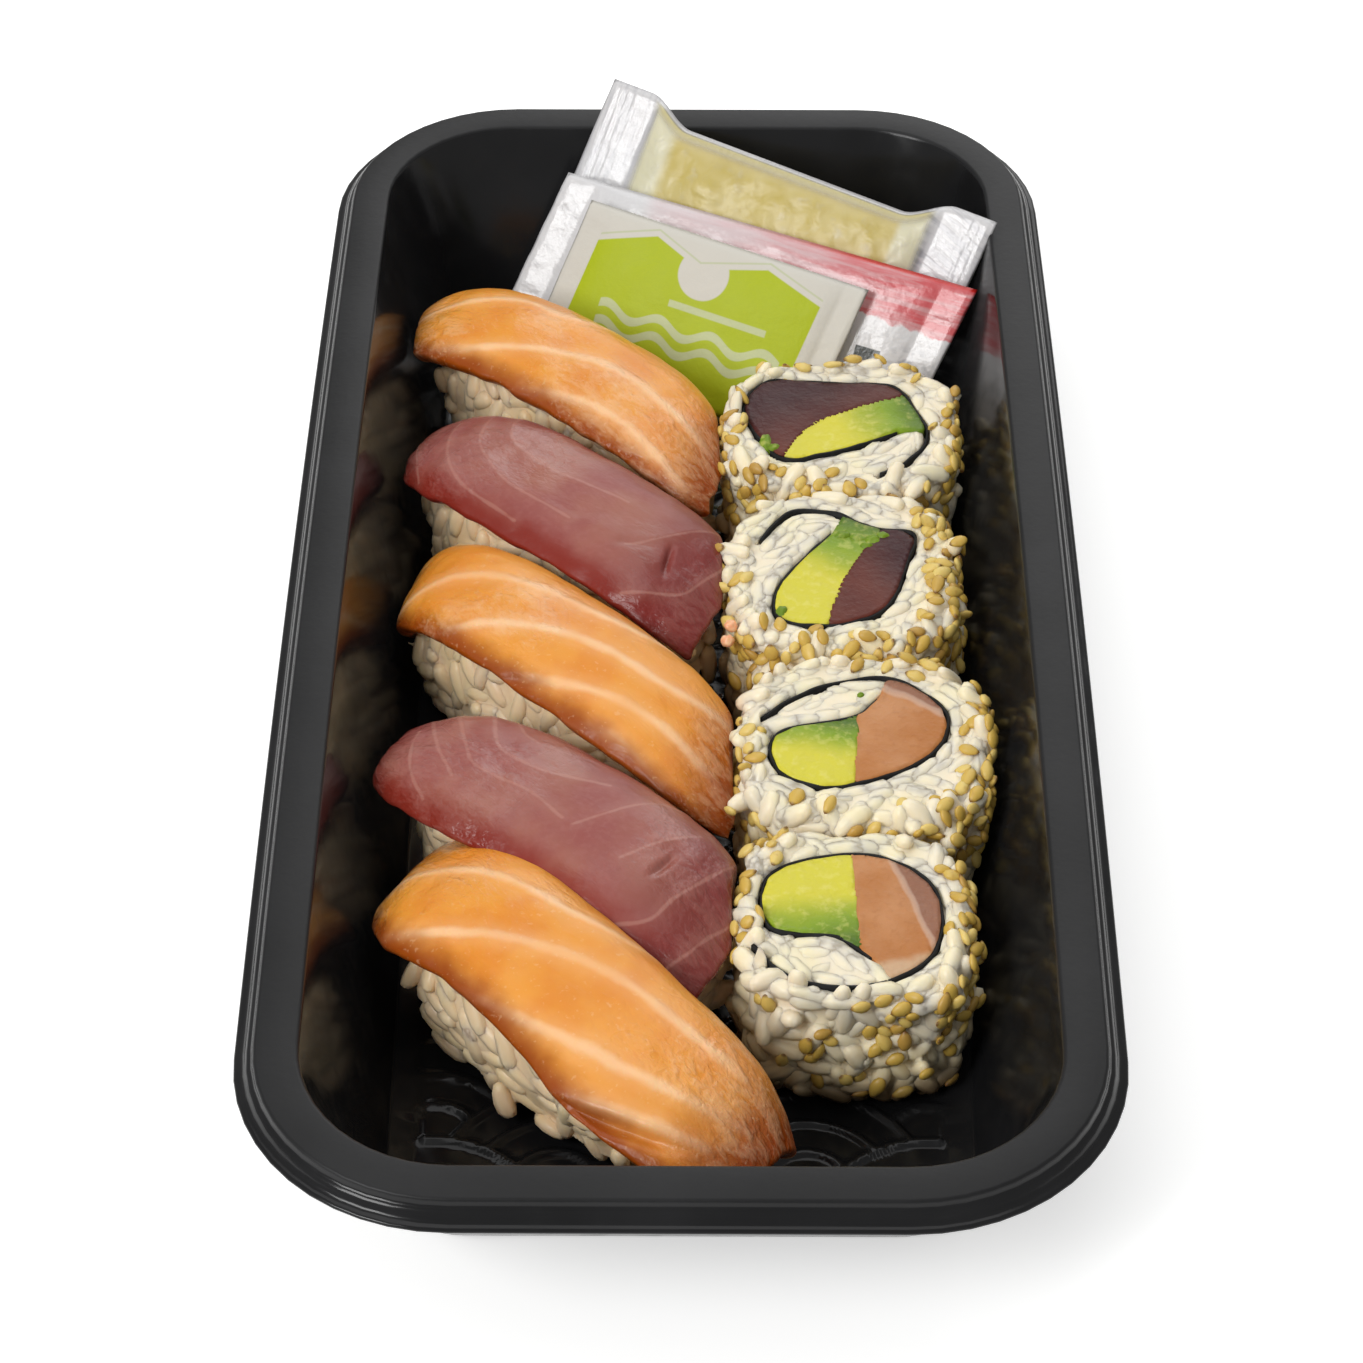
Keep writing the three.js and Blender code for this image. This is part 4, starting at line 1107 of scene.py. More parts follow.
def build_roll_rice(settings, material, skin_material, seed_material):
    template, seed_template = grain_shape(settings), seed_shape(settings)
    grains, seeds, nodes = [], [], []
    for number, (name, roll) in enumerate(ROLLS.items()):
        nodes.append(f"roll_{name}_rice")
        draw = np.random.default_rng(ROLL_DRAW + number)
        core = node_copy(f"{name}_roll_core", nodes[-1], 0.45, 2)
        co = places(core)
        outer = smoothstep(roll_level(co, roll), 0.78, 0.9)
        upright = 1 - smoothstep(np.abs(normals(core)[:, 2]), 0.5, 0.9)
        swell(core, 0.15 * rough(co, 1.8) - CORE_SHRINK * outer + (0.45 * upright - 0.3) * (1 - outer))

        def on_face(middle, normal):
            return (normal[:, 2] > 0.6) & (middle[:, 2] > ROLL_TOP - 2.5)

        def on_side(middle, normal):
            outside = (roll_level(middle, roll) > 0.84) & (middle[:, 2] > FOOD_FLOOR + 0.6)
            return (normal[:, 2] <= 0.7) & (normal[:, 2] > -0.75) & outside

        face, middle, axes = lay_grains(f"{name}_cut_grains", template, core, on_face, draw,
                                        settings.spacing, lift=(-1.0, -0.55), tilt=0.05, roll=roll)
        press_off_nori(face, middle, roll)
        flatten_cut(face, roll)
        sides, side_middle, side_axes = lay_grains(f"{name}_side_grains", template, core, on_side, draw,
                                                   settings.spacing, lift=(-0.6, 0.3), tilt=0.14)
        press_off_nori(sides, side_middle, roll)
        keep_in_tray(sides)
        grains += [face, sides]
        skin = stuck_together(f"{name}_roll_rice", core, [face, sides],
                              np.concatenate([middle, side_middle]), np.concatenate([axes, side_axes]),
                              settings.length / MM / 2, **ROLL_SKIN)
        groove_for_nori(skin, roll)
        finish_piece(skin, skin_material, "rice", nodes[-1])
        seeds.append(scatter_seeds(skin, roll, draw, seed_template, f"{name}_seeds"))
    for piece in (template, seed_template):
        bpy.data.objects.remove(piece)
    finish_piece(joined("roll_grains", grains), material, "rice", *nodes)
    finish_piece(joined("sesame_seeds", seeds), seed_material, "rice", *nodes)


def flatten_cut(piece, roll):
    """Presses the grains of a cut face down to one slightly uneven level, as a knife leaves them."""
    co = places(piece)
    spot = co.copy()
    spot[:, 2] = 0
    rim = smoothstep(roll_level(co, roll), 0.75, 1.0)
    level = ROLL_TOP + 0.12 + 0.25 * rough(spot, 3.2, 4.0) + 0.55 * rim * (0.5 + rough(spot, 3.5, 8.0))
    soft = 0.15
    co[:, 2] = level - soft * np.logaddexp(0, (level - co[:, 2]) / soft)
    place_all(piece, co)


def scatter_seeds(skin, roll, draw, template, name):
    """Seeds in clusters on a roll's sides and along the edge of its cut face, half sunk in the rice."""
    middle, normal = faces_of(skin)
    outside = roll_level(middle, roll) > np.where(normal[:, 2] > 0.6, 0.76, 0.8)
    room = SHOULDER_X - wall_inset(middle[:, 2] - FLOOR_TOP)[0] - 3 * WALL_ROOM
    shown = outside & (normal[:, 2] > -0.5) & (middle[:, 2] > FOOD_FLOOR + 1.5) & (middle[:, 0] < room)
    middle, normal = middle[shown], normal[shown]
    tree = tree_of(middle)
    chosen = list(draw.choice(len(middle), STRAY_SEEDS, replace=False))
    for angle, height, radius, count in roll["seeds"]:
        heading = np.radians(angle)
        way = np.array([np.cos(heading), np.sin(heading)])
        way /= (np.abs(way) ** ROLL_SQUARENESS).sum() ** (1 / ROLL_SQUARENESS)
        flat = roll["place"] + way * roll["half"] * (1 - max(height - 1, 0))
        spot = np.append(flat, FOOD_FLOOR + min(height, 1) * ROLL_HEIGHT)
        chosen += [tree.find(point)[1] for point in spot + draw.normal(0, radius / 2, (count, 3))]
    chosen = np.unique(chosen)
    chosen = chosen[spread(middle[chosen], SEED_SPACING, draw.permutation(len(chosen)))]
    middle, normal = middle[chosen], normal[chosen]
    count = len(middle)
    sizes = draw.uniform(0.82, 1.1, count)[:, None] * draw.uniform(0.9, 1.1, (count, 3))
    axes = laid_axes(normal, draw, 0.16)
    middle = middle + normal * draw.uniform(0.2, 0.55, count)[:, None]
    piece = strewn(name, template, middle, axes, sizes, draw.uniform(0, 1, count))
    keep_in_tray(piece)
    return piece


def painted_floor_shade(s, amount):
    """How much painted shade darkens food by the tray's floor."""
    return (1 - s.axes(s.place())[2].ease(4.0 * MM, 9.5 * MM)) * amount


def rice_material(settings, name, warmth, dim, in_gaps):
    """Cooked rice: whole grains, or the sticky mass between them. Painted shade dims it lower down."""
    s = Shader(name)
    place = s.place()
    cloud = s.noise(place, 650, 2)
    base, shade, pale = (np.array(colour) * warmth
                         for colour in (settings.colour, settings.shade, (0.90, 0.82, 0.68)))
    # Grains get their own see-through grey; in the mass, painted shade darkens the gaps between grains.
    if in_gaps:
        own = (s.attribute("off_grain").ease(1.6, 2.7) * 0.12, (0.56, 0.44, 0.27))
    else:
        own = (s.attribute("shade").ease(0.65, 0.95) * 0.42, shade)
    colour = s.layers(
        base, (s.noise(place, 140, 2).ease(0.42, 0.68) * 0.4, base * (1, 1, 0.78)),
        (cloud.ease(0.5, 0.8) * 0.25, pale), own,
        # Painted shade: the rice turns dimmer and browner lower down, darkest by the floor.
        ((1 - s.axes(place)[2].ease(8 * MM, 20 * MM)) * dim * 0.6, (0.84, 0.68, 0.38)),
        (painted_floor_shade(s, dim), (0.12, 0.07, 0.028)))
    return s.done(colour=colour, roughness=0.32 + cloud * 0.14,
                  normal=s.bump(s.noise(place, 1500, 2) + cloud * 0.6, 0.08, 0.5), soft=0.55,
                  reach=(1.0, 0.9, 0.7), scale=0.0012, ior=1.36, coat=0.12, coat_roughness=0.18)


def sesame_material(settings):
    s = Shader("sesame")
    shade = s.attribute("shade")
    cloud = s.noise(s.place(), 900, 2)
    colour = s.layers(
        (0.76, 0.57, 0.17), (shade.ease(0.0, 0.6), settings.seed_colour),
        (shade.ease(0.72, 1.0) * 0.6, (0.42, 0.22, 0.05)),
        (cloud.ease(0.6, 0.75) * 0.3, (0.46, 0.25, 0.06)),
        # Painted shade: seeds darken by the floor.
        (painted_floor_shade(s, 0.75), (0.15, 0.08, 0.015)),
        (s.attribute("tip").ease(0.62, 0.95) * 0.9, (0.16, 0.065, 0.015)))
    return s.done(colour=colour, roughness=0.36 + cloud * 0.15, normal=s.bump(cloud, 0.06, 0.5),
                  soft=0.15, reach=(1.0, 0.7, 0.4), scale=0.0008)


# ---- seaweed and fillings ----


def build_nori(name, roll, settings, material):
    line = smooth_line(roll["nori"], 201)
    run = np.gradient(line, axis=0)
    across = unit(np.stack([-run[:, 1], run[:, 0]], 1))

    def shape(u, v):
        index = np.rint((u + 1) * 100).astype(int)
        height = (v + 1) / 2
        spot = np.stack([u * 40, height * 8, np.full_like(u, roll["place"][1])], 1)
        wave = 0.22 * rough(spot, 3.0) * height
        lift = 0.25 * rough(spot, 4.0, 9.0) * smoothstep(height, 0.8, 1.0)
        flat = line[index] + across[index] * wave[:, None] + roll["place"]
        return np.append(flat, (FOOD_FLOOR + 0.2 + height * (ROLL_HEIGHT - 0.4) + lift)[:, None], 1)

    piece, _ = shaped_grid(f"{name}_seaweed", (200, 14), shape)
    modify(piece, "SOLIDIFY", thickness=settings.nori_thickness, offset=0)
    with editing(piece):
        turn_outward()
    finish_piece(piece, material, "nori", f"roll_{name}_nori")


def nori_material(settings):
    s = Shader("seaweed")
    fibre = s.noise(s.place(), 1400, 3)
    colour = s.layers(settings.nori, (fibre.ease(0.3, 0.8), np.array(settings.nori) * 2.4))
    return s.done(colour=colour, roughness=0.45 + fibre * 0.25, normal=s.bump(fibre, 0.1, 0.6),
                  specular=0.2)


def build_filling(name, roll, part, material, slot):
    node = f"roll_{name}_{part}"
    piece = node_copy(f"{name}_{part}_filling", node, 0.36, 5)
    co = places(piece)
    fish = part == "fish"
    seed = roll["place"][0] + (3 if fish else 0)
    side = 1 - smoothstep(np.abs(normals(piece)[:, 2]), 0.5, 0.9)
    ends = (1 - side) * (0.22 * rough(co, 6, seed) - 0.05)
    swell(piece, 0.46 * side + 0.1 * rough(co, 3.2, seed) + ends)
    co = places(piece)
    low, high = co.min(0)[:2], co.max(0)[:2]
    off = (co[:, :2] - (low + high) / 2) / ((high - low) / 2)
    way = np.array(roll["dark"] if fish else roll["skin"])
    toward = off @ way / np.linalg.norm(way)
    if fish:
        set_attribute(piece, "past_line", toward - roll["line"])
        set_attribute(piece, "toward_fat", off @ np.array(roll.get("pale", (0, 0))))
    else:
        set_attribute(piece, "toward_skin", toward)
    finish_piece(piece, material, slot, node)


def lump(name, beside, off, height, half, seed):
    """A small soft lump at some place from the middle of a roll."""
    piece = added(bpy.ops.mesh.primitive_ico_sphere_add, subdivisions=4, radius=1)
    piece.name = name
    ball = places(piece) * MM
    bumpy = 1 + 0.16 * rough(ball, 0.7, seed) + 0.08 * rough(ball, 0.3, seed)
    place_all(piece, ball * bumpy[:, None] * half + (*(np.array(ROLLS[beside]["place"]) + off), height))
    return piece


def build_scraps(avocado, roe):
    scraps, beads = [], []
    for number, (name, off, half) in enumerate(SCRAPS):
        scraps.append(lump(f"scrap_{number}", name, off, ROLL_TOP - half[2] + 0.35, half, number * 3.1))
        set_attribute(scraps[-1], "toward_skin", np.full(len(scraps[-1].data.vertices), 0.75))
    for number, (name, off, height) in enumerate(ROE):
        beads.append(lump(f"bead_{number}", name, off, height, (0.95, 0.9, 0.85), number * 2.3))
    finish_piece(joined("avocado_scraps", scraps), avocado, "avocado", "roll_middle_back_avocado")
    finish_piece(joined("roe_beads", beads), roe, "salmon", "roll_middle_back_rice")


def roe_material():
    s = Shader("roe")
    cloud = s.noise(s.place(), 900, 2)
    return s.done(colour=s.layers((0.86, 0.42, 0.22), (cloud.ease(0.35, 0.7), (0.9, 0.55, 0.32))),
                  roughness=0.25 + cloud * 0.1, normal=s.bump(cloud, 0.05, 0.4), soft=0.4,
                  reach=(1.0, 0.5, 0.25), scale=0.001)


def avocado_material(settings):
    s = Shader("avocado_flesh")
    place = s.place()
    cloud, fine = s.noise(place, 160, 3), s.noise(place, 800, 3)
    toward = s.attribute("toward_skin") + (cloud - 0.5) * 0.5
    colour = s.layers(settings.flesh, (toward.ease(-0.2, 0.6), (0.22, 0.34, 0.014)),
                      (toward.ease(0.45, 1.05), settings.skin),
                      (fine.ease(0.5, 0.72) * 0.3, (0.80, 0.74, 0.24)))
    return s.done(colour=colour, roughness=0.38 + fine * 0.12, specular=0.3,
                  normal=s.bump(fine * 1.5 + cloud, 0.22, 0.8), soft=0.15, reach=(0.8, 1.0, 0.3),
                  scale=0.0012)


def filling_material(name, flesh, light, deep, dark, line):
    """Raw fish as it shows at a cut: dark past a line, which is white by some share."""
    s = Shader(name)
    place = s.place()
    cloud, fine, grain = s.noise(place, 130, 3), s.noise(place, 900, 3), s.noise(place, 1700, 2)
    past = s.attribute("past_line") + (s.noise(place, 220, 2) - 0.5) * 0.18
    soft = 0.05 if line else 0.6
    fat = (s.attribute("toward_fat") + (cloud - 0.5) * 0.3).ease(0.62, 0.8)
    colour = s.layers(
        flesh, (cloud.ease(0.3, 0.75), light), (fine.ease(0.5, 0.8) * 0.3, deep),
        (past.ease(-soft, soft) * 0.8, dark),
        ((1 - abs(past).ease(0.03, 0.1)) * line, (0.62, 0.42, 0.31)),
        (fat * 0.8, (0.62, 0.43, 0.27)), (grain.ease(0.55, 0.75) * 0.14, light))
    return s.done(colour=colour, roughness=0.36 + fine * 0.12, specular=0.2,
                  normal=s.bump(fine + cloud + grain * 0.5, 0.2, 0.8), soft=0.15,
                  reach=(1.0, 0.4, 0.25), scale=0.0012)


# ---- sachets ----


def sachet_axes(sachet):
    """The middle of a sachet's top edge, its axes (along, through, up its face) and its width."""
    left, right = (np.array(sachet[end], float) + (0, 0, RIM_TOP) for end in ("left", "right"))
    width = np.linalg.norm(right - left)
    along = (right - left) / width
    lean = np.radians(sachet["lean"])
    behind = np.array([-along[1], along[0], 0])
    behind /= np.linalg.norm(behind)
    up = behind * np.sin(lean) + np.array([0, 0, np.cos(lean)])
    up -= along * (up @ along)
    up /= np.linalg.norm(up)
    return (left + right) / 2, along, np.cross(up, along), up, width


def pillow(name, sachet, steps, relief, fill=1.0, inset=(0.0, 0.0)):
    """A sealed pillow, as one skin round its two faces. UV is the place on its face, in mm."""
    middle, along, through, up, width = sachet_axes(sachet)
    half_width, height = width / 2 - inset[0], sachet["height"]
    map_places = {}

    def shape(u, w):
        v = np.where(w < 0, 2 * w + 1, 1 - 2 * w)
        side = np.where(w < 0, -1.0, 1.0)
        swelling = (np.clip(1 - np.abs(u / sachet["filled"]) ** 4, 0, 1)
                    * np.clip(1 - np.abs(v) ** 3, 0, 1)) ** 0.6
        seam = smoothstep(1 - np.abs(v), 0, 0.08) * smoothstep(1 - np.abs(u), 0, 0.03)
        inner = np.maximum(np.abs(u), np.abs(v)) < 0.9999
        half = 0.05 * inner + 0.3 * seam + (sachet["thickness"] / 2 - 0.6) * swelling * fill
        off_middle = np.abs(u) * half_width * 2 / width
        sag = sachet["sag"] * smoothstep(0.85 - off_middle, 0.05, 0.3) * (1 + v) / 2
        x = u * half_width + sachet["shift"] * (v - 1) / 2
        z = (v - 1) * height / 2 * (1 - 2 * inset[1] / height) - inset[1] - sag
        depth = side * half + relief(x, z, u, v, swelling, side)
        map_places["uv"] = np.stack([x, z], 1)
        map_places["from_top"] = (1 - v) * height / 2
        return middle + np.outer(x, along) + np.outer(depth, through) + np.outer(z, up)

    piece, _ = shaped_grid(name, steps, shape)
    place_all(piece, keep_off_floor(places(piece)))
    set_uv(piece, map_places["uv"])
    set_attribute(piece, "from_top", map_places["from_top"])
    with editing(piece):
        bpy.ops.mesh.remove_doubles(threshold=2e-5)
        turn_outward()
    return piece


def film_relief(depth, seed, seal_at):
    """Wrinkles over the filled part, creases by the seals and a fine crimp in the seals."""
    def relief(x, z, u, v, swelling, side):
        spot = np.stack([x, z * 1.4, side * 2], 1)
        wrinkle = rough(spot, 7, seed) + 0.5 * rough(spot, 2.8, seed)
        fold = np.abs(rough(np.stack([x * 0.6, z * 2.2, np.zeros_like(x)], 1), 4, seed + 4))
        near_seal = np.exp(-((np.abs(u) - seal_at) / 0.12) ** 2)
        seal = smoothstep(np.abs(u), seal_at + 0.06, seal_at + 0.12)
        crimp = 0.07 * np.sin(x * 2 * np.pi / CRIMP) * seal
        return crimp + depth * (0.5 * wrinkle * swelling + 0.9 * near_seal * (0.4 - fold))
    return relief


def build_sachets(settings):
    def film(key, name, material, steps, depth, seed, seal_at):
        relief = film_relief(settings.wrinkle / MM * depth, seed, seal_at)
        piece = pillow(name, SACHETS[key], steps, relief)
        finish_piece(piece, material(settings), key, f"sachet_{key}")

    def lumps(x, z, u, v, swelling, side):
        spot = np.stack([x, z, side * 3], 1)
        return swelling * side * (0.35 * rough(spot, 6, 1.0) + 0.25 * rough(spot, 2.5, 3.0) - 0.1)

    film("ginger", "ginger_film", clear_film_material, (150, 84), depth=0.6, seed=2.0, seal_at=0.76)
    inside = dict(SACHETS["ginger"], filled=1.0)
    filling = pillow("ginger_slices", inside, (110, 60), lumps, fill=0.82, inset=(GINGER_INSET, 0.9))
    finish_piece(filling, ginger_material(settings), "ginger", "sachet_ginger")
    film("soy", "soy_sachet", soy_print_material, (150, 76), depth=1.0, seed=5.0, seal_at=0.88)
    film("wasabi", "wasabi_sachet", wasabi_print_material, (130, 70), depth=0.6, seed=8.0, seal_at=0.88)


def clear_film_material(settings):
    s = Shader("clear_film")
    uv = s.map()
    x, z, _ = s.axes(uv)
    milk = s.noise(uv, 0.35, 3)
    seal_left, seal_right = 1 - x.ease(-26.0, -23.6), x.ease(22.4, 24.4)
    seals = seal_left.most(seal_right)
    folds = s.noise(s.vector(x * 1.3, z * 0.12, 0.0), 1.0, 3)
    fan = s.noise(s.vector(x * 0.12, z * 0.9 + x * 0.3, 0.0), 1.0, 2)
    # Painted shade greys the creases in the seals and the fold along the right seal's edge.
    grey = seal_left * folds.ease(0.42, 0.62) * 0.35 + seal_right * fan.ease(0.52, 0.62) * 0.4
    grey = grey + (1 - abs(x - 23.2).ease(0.3, 1.6)) * fan.ease(0.4, 0.6) * 0.8
    from_top = s.attribute("from_top")
    line = 1 - from_top.ease(0.4, 0.9)
    crest = (1 - from_top.ease(0.8, 3.0)) * (1 - line)
    cover = (seals * 0.94).most(line * 0.8).most(0.06 + milk.ease(0.55, 0.8) * 0.2).most(crest * 0.8)
    colour = s.layers(settings.film, (grey, (0.42, 0.42, 0.45)),
                      (crest * (1 - seals), (0.64, 0.56, 0.26)))
    return s.done(colour=colour, roughness=0.2 + milk * 0.15, alpha=cover, coat=0.3,
                  normal=s.bump(milk + folds * seal_left * 0.6 + fan * seal_right * 0.8, 0.4, 0.6))


def ginger_material(settings):
    s = Shader("pickled_ginger")
    uv = s.map()
    x, z, _ = s.axes(uv)
    cloud, fibre = s.noise(uv, 0.14, 2), s.noise(uv, 0.3, 2, 0.4)
    ends = (1 - x.ease(-21.5, -19.0)).most(x.ease(18.5, 20.0))
    colour = s.layers(settings.ginger, (cloud.ease(0.38, 0.66) * 0.5, (0.66, 0.56, 0.24)),
                      # Painted highlight: the ginger is paler along its top.
                      ((z + 7.0 + cloud * 2).ease(0.0, 2.4) * 0.45, (0.72, 0.62, 0.31)),
                      (ends * 0.85, (0.72, 0.70, 0.52)))
    return s.done(colour=colour, roughness=0.3 + fibre * 0.1, normal=s.bump(fibre, 0.5, 0.5),
                  soft=0.2, reach=(1.0, 0.9, 0.4), scale=0.0015)


def round_away(x, z, middle, stretch=1.0):
    """How far a place on a film is from some middle, in a circle or an oval."""
    across, up = x + -middle[0], z + -middle[1]
    return (across * across + up * up * stretch).root()


def soy_print_material(settings):
    s = Shader("soy_film")
    uv = s.map()
    x, z, _ = s.axes(uv)
    mottle = s.noise(uv, 0.5, 4)
    brush = s.noise(s.vector(x * 0.09, z * 0.9, 0.0), 1.0, 3)
    lower = z + 7.6 + x * 0.04 + (mottle - 0.5) * 2.2
    band = lower.ease(-0.25, 0.25) * x.ease(-21.5, -18.0)
    ink = band * (0.24 + x.ease(-20.0, 34.0) * 0.9) * (0.6 + brush.ease(0.35, 0.65) * 0.4)
    line = (1 - (0 - z).ease(0.35, 0.75)) * x.ease(-4.0, 24.0)
    bar = (1 - (abs(x - 21.0) - 2.0).ease(-0.1, 0.1)) * (1 - (abs(z + 14.4) - 1.2).ease(-0.1, 0.1))
    # Painted shade greys a crumpled patch by the right seal.
    crumple_shade = (1 - round_away(x, z, (28.0, -14.0), 2.0).ease(2.0, 5.0)) * mottle.ease(0.42, 0.6) * 0.7
    colour = s.layers(settings.film, (ink, settings.red), (line, (0.60, 0.012, 0.008)),
                      (bar, (0.03, 0.035, 0.03)), (crumple_shade, (0.32, 0.32, 0.34)))
    return s.done(colour=colour, roughness=0.22 + s.noise(uv, 0.12, 2) * 0.2, coat=0.25,
                  normal=s.bump(s.noise(uv, 0.9, 2), 0.25, 0.5))


def wasabi_print_material(settings):
    s = Shader("wasabi_film")
    uv = s.map()
    x, z, _ = s.axes(uv)

    def strip(value, low, high):
        return value.ease(low - 0.12, low + 0.12) * (1 - value.ease(high - 0.12, high + 0.12))

    roof = (0 - abs(x + 11.1) * 0.36 - 2.2).most(0 - abs(x - 7.7) * 0.3 - 1.9)
    sides = strip(x - z * PRINT_SKEW, -19.9, 18.0)
    field = sides * (1 - (z - roof).ease(-0.15, 0.15))
    disc = 1 - round_away(x, z, (-2.0, -5.6)).ease(4.0, 4.3)
    bars = strip(x, -6.0, 10.5) * strip(z, -12.0, -10.9)
    wavy = z - (x * 0.7).sine() * 0.9
    ribbons = strip(wavy, -16.0, -14.6).most(strip(wavy, -18.8, -17.4)) * strip(x, -17.0, 14.0)
    light = (0.63, 0.605, 0.54)
    colour = s.layers(light, (field, settings.lime), (disc, light),
                      (bars.most(ribbons) * field * 0.85, (0.56, 0.60, 0.38)),
                      (strip(z - roof, 0.9, 1.2) * sides * 0.5, (0.42, 0.50, 0.20)))
    return s.done(colour=colour, roughness=0.42 + s.noise(uv, 0.2, 2) * 0.15, specular=0.22,
                  normal=s.bump(s.noise(uv, 1.1, 2), 0.12, 0.5))


# ---- stage: places in metres, and each area light's size and power ----

LIGHTS = (("key", (-0.62, -0.62, 0.72), 0.42, 7.0), ("top", (-0.1, 0.25, 1.0), 0.8, 2.8),
          ("back", (0.2, 1.0, 0.6), 0.7, 2.8))
CAMERA = {"place": (0.00174, -0.40816, 0.37732), "looking": (-0.00388, 0.74243, -0.66991)}


def build_stage(settings):
    floor = added(bpy.ops.mesh.primitive_plane_add, size=6, location=(0, 0, -0.0003))
    floor.name = "floor"
    bpy.ops.object.transform_apply(location=True, rotation=True, scale=True)
    s = Shader("plain_floor")
    grain = s.noise(s.place(), 12, 2)
    floor.data.materials.append(s.done(colour=settings.floor, roughness=0.6 + grain * 0.1,
                                       normal=s.bump(grain, 0.02), glow=(1, 1, 1), glow_strength=0.45))
    for name, place, size, power in LIGHTS:
        aim = (-Vector(place)).to_track_quat("-Z", "Y").to_euler()
        light = added(bpy.ops.object.light_add, type="AREA", location=place, rotation=aim)
        light.name = name
        light.data.size = size
        light.data.energy = power
    world = bpy.data.worlds.new("studio")
    world.use_nodes = True
    background = world.node_tree.nodes["Background"]
    background.inputs[0].default_value = (1.0, 1.0, 1.0, 1.0)
    background.inputs[1].default_value = 0.42
    bpy.context.scene.world = world
    bpy.context.scene.view_settings.view_transform = "Standard"
    aim = Vector(CAMERA["looking"]).to_track_quat("-Z", "Y").to_euler()
    camera = added(bpy.ops.object.camera_add, location=CAMERA["place"], rotation=aim)
    camera.data.lens = settings.lens
    camera.data.sensor_width = 36
    camera.data.clip_start = 0.01
    camera.data.dof.use_dof = False
    bpy.context.scene.camera = camera


# ---- operators ----


class SUSHI_OT_tray(bpy.types.Operator):
    """Builds the formed tray with its rim, feet and ribbed floor"""

    bl_idname = "sushi.tray"
    bl_label = "Tray"

    def execute(self, context):
        build_tray(context.scene.sushi_tray)
        return {"FINISHED"}


class SUSHI_OT_slices(bpy.types.Operator):
    """Builds the five slices of fish on the nigiri"""

    bl_idname = "sushi.slices"
    bl_label = "Fish Slices"

    def execute(self, context):
        settings = context.scene.sushi_fish
        materials = {"salmon": salmon_material(settings), "tuna": tuna_material(settings)}
        for name in NIGIRI:
            kind = name.split("_")[0]
            build_slice(name, materials[kind], kind)
        return {"FINISHED"}


class SUSHI_OT_rice(bpy.types.Operator):
    """Builds the rice of the nigiri and the rolls, with sesame seeds on the rolls"""

    bl_idname = "sushi.rice"
    bl_label = "Rice and Seeds"

    def execute(self, context):
        settings = context.scene.sushi_rice

        def grains_and_mass(name, warmth, dim):
            return [rice_material(settings, f"{name}_rice_{part}", warmth, dim, part == "mass")
                    for part in ("grains", "mass")]

        # The nigiri rice's warm tint is painted light, the orange glow that the fish throws on it; the
        # last number of each is how much painted shade dims the rice lower down.
        build_nigiri_rice(settings, *grains_and_mass("nigiri", (1.16, 0.96, 0.81), 0.08))
        build_roll_rice(settings, *grains_and_mass("roll", (1.07, 1.07, 1.05), 0.95),
                        sesame_material(settings))
        return {"FINISHED"}


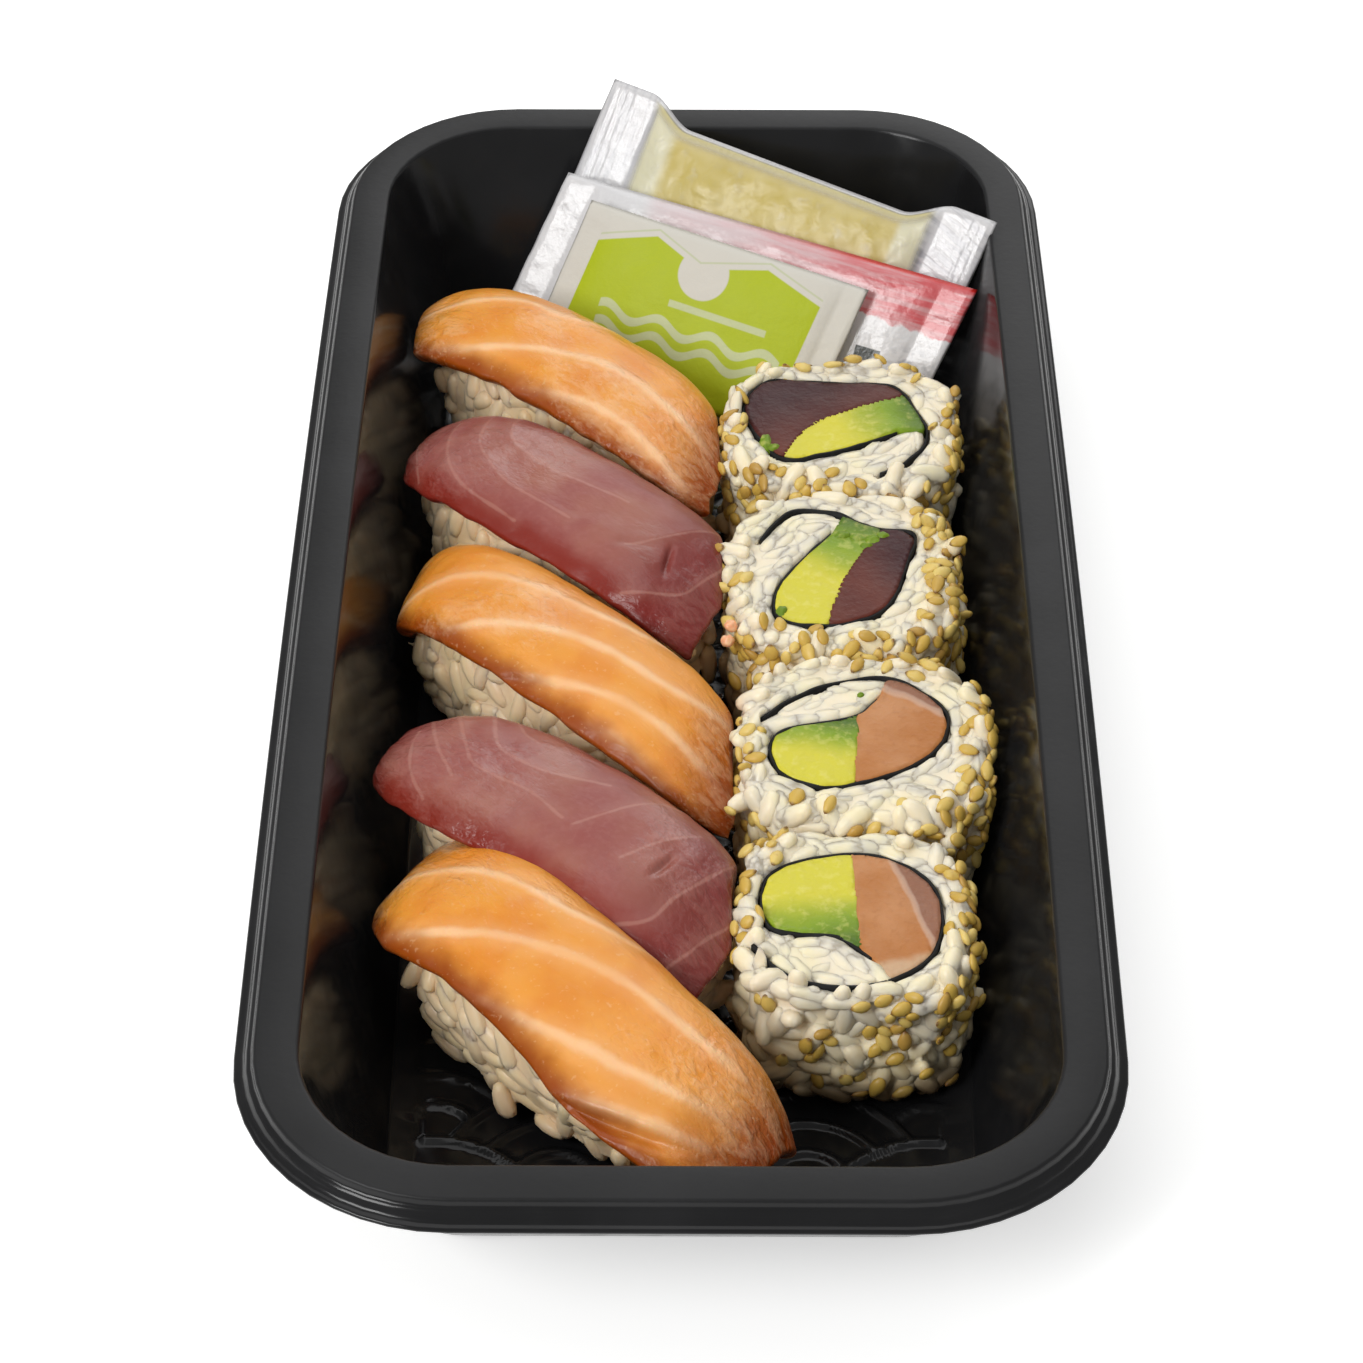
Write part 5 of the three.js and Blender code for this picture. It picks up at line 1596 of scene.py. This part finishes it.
class SUSHI_OT_fillings(bpy.types.Operator):
    """Builds the seaweed, avocado and fish inside the rolls"""

    bl_idname = "sushi.fillings"
    bl_label = "Seaweed and Fillings"

    def execute(self, context):
        settings = context.scene.sushi_filling
        nori, avocado = nori_material(settings), avocado_material(settings)
        fish = {
            "salmon": filling_material(
                "salmon_filling", flesh=(0.46, 0.175, 0.048), light=(0.56, 0.26, 0.11),
                deep=(0.35, 0.115, 0.03), dark=(0.25, 0.12, 0.085), line=0.6),
            "tuna": filling_material(
                "tuna_filling", flesh=(0.105, 0.021, 0.014), light=(0.14, 0.036, 0.024),
                deep=(0.05, 0.012, 0.010), dark=(0.035, 0.014, 0.018), line=0.0),
        }
        for name, roll in ROLLS.items():
            build_nori(name, roll, settings, nori)
            build_filling(name, roll, "avocado", avocado, "avocado")
            build_filling(name, roll, "fish", fish[roll["fish"]], roll["fish"])
        build_scraps(avocado, roe_material())
        return {"FINISHED"}


class SUSHI_OT_sachets(bpy.types.Operator):
    """Builds the three condiment sachets"""

    bl_idname = "sushi.sachets"
    bl_label = "Sachets"

    def execute(self, context):
        build_sachets(context.scene.sushi_sachet)
        return {"FINISHED"}


class SUSHI_OT_stage(bpy.types.Operator):
    """Sets up the floor, the lights and the camera"""

    bl_idname = "sushi.stage"
    bl_label = "Stage"

    def execute(self, context):
        build_stage(context.scene.sushi_stage)
        return {"FINISHED"}


class SUSHI_PT_panel(bpy.types.Panel):
    """Lists what the add-on builds"""

    bl_idname = "SUSHI_PT_panel"
    bl_label = "Sushi Tray"
    bl_space_type = "VIEW_3D"
    bl_region_type = "UI"
    bl_category = "Sushi Tray"

    def draw(self, context):
        for operator in OPERATORS:
            self.layout.operator(operator.bl_idname)


OPERATORS = (SUSHI_OT_tray, SUSHI_OT_slices, SUSHI_OT_rice, SUSHI_OT_fillings, SUSHI_OT_sachets,
             SUSHI_OT_stage)
SETTINGS = {
    "sushi_tray": TraySettings, "sushi_rice": RiceSettings, "sushi_fish": FishSettings,
    "sushi_filling": FillingSettings, "sushi_sachet": SachetSettings, "sushi_stage": StageSettings}


def register():
    for name, group in SETTINGS.items():
        bpy.utils.register_class(group)
        setattr(bpy.types.Scene, name, bpy.props.PointerProperty(type=group))
    for item in (*OPERATORS, SUSHI_PT_panel):
        bpy.utils.register_class(item)


def unregister():
    for item in reversed((*OPERATORS, SUSHI_PT_panel)):
        bpy.utils.unregister_class(item)
    for name, group in SETTINGS.items():
        delattr(bpy.types.Scene, name)
        bpy.utils.unregister_class(group)


def main():
    register()
    bpy.ops.object.select_all(action="DESELECT")
    bpy.ops.sushi.tray()
    bpy.ops.sushi.slices()
    bpy.ops.sushi.rice()
    bpy.ops.sushi.fillings()
    bpy.ops.sushi.sachets()
    bpy.ops.sushi.stage()


if __name__ == "__main__":
    main()
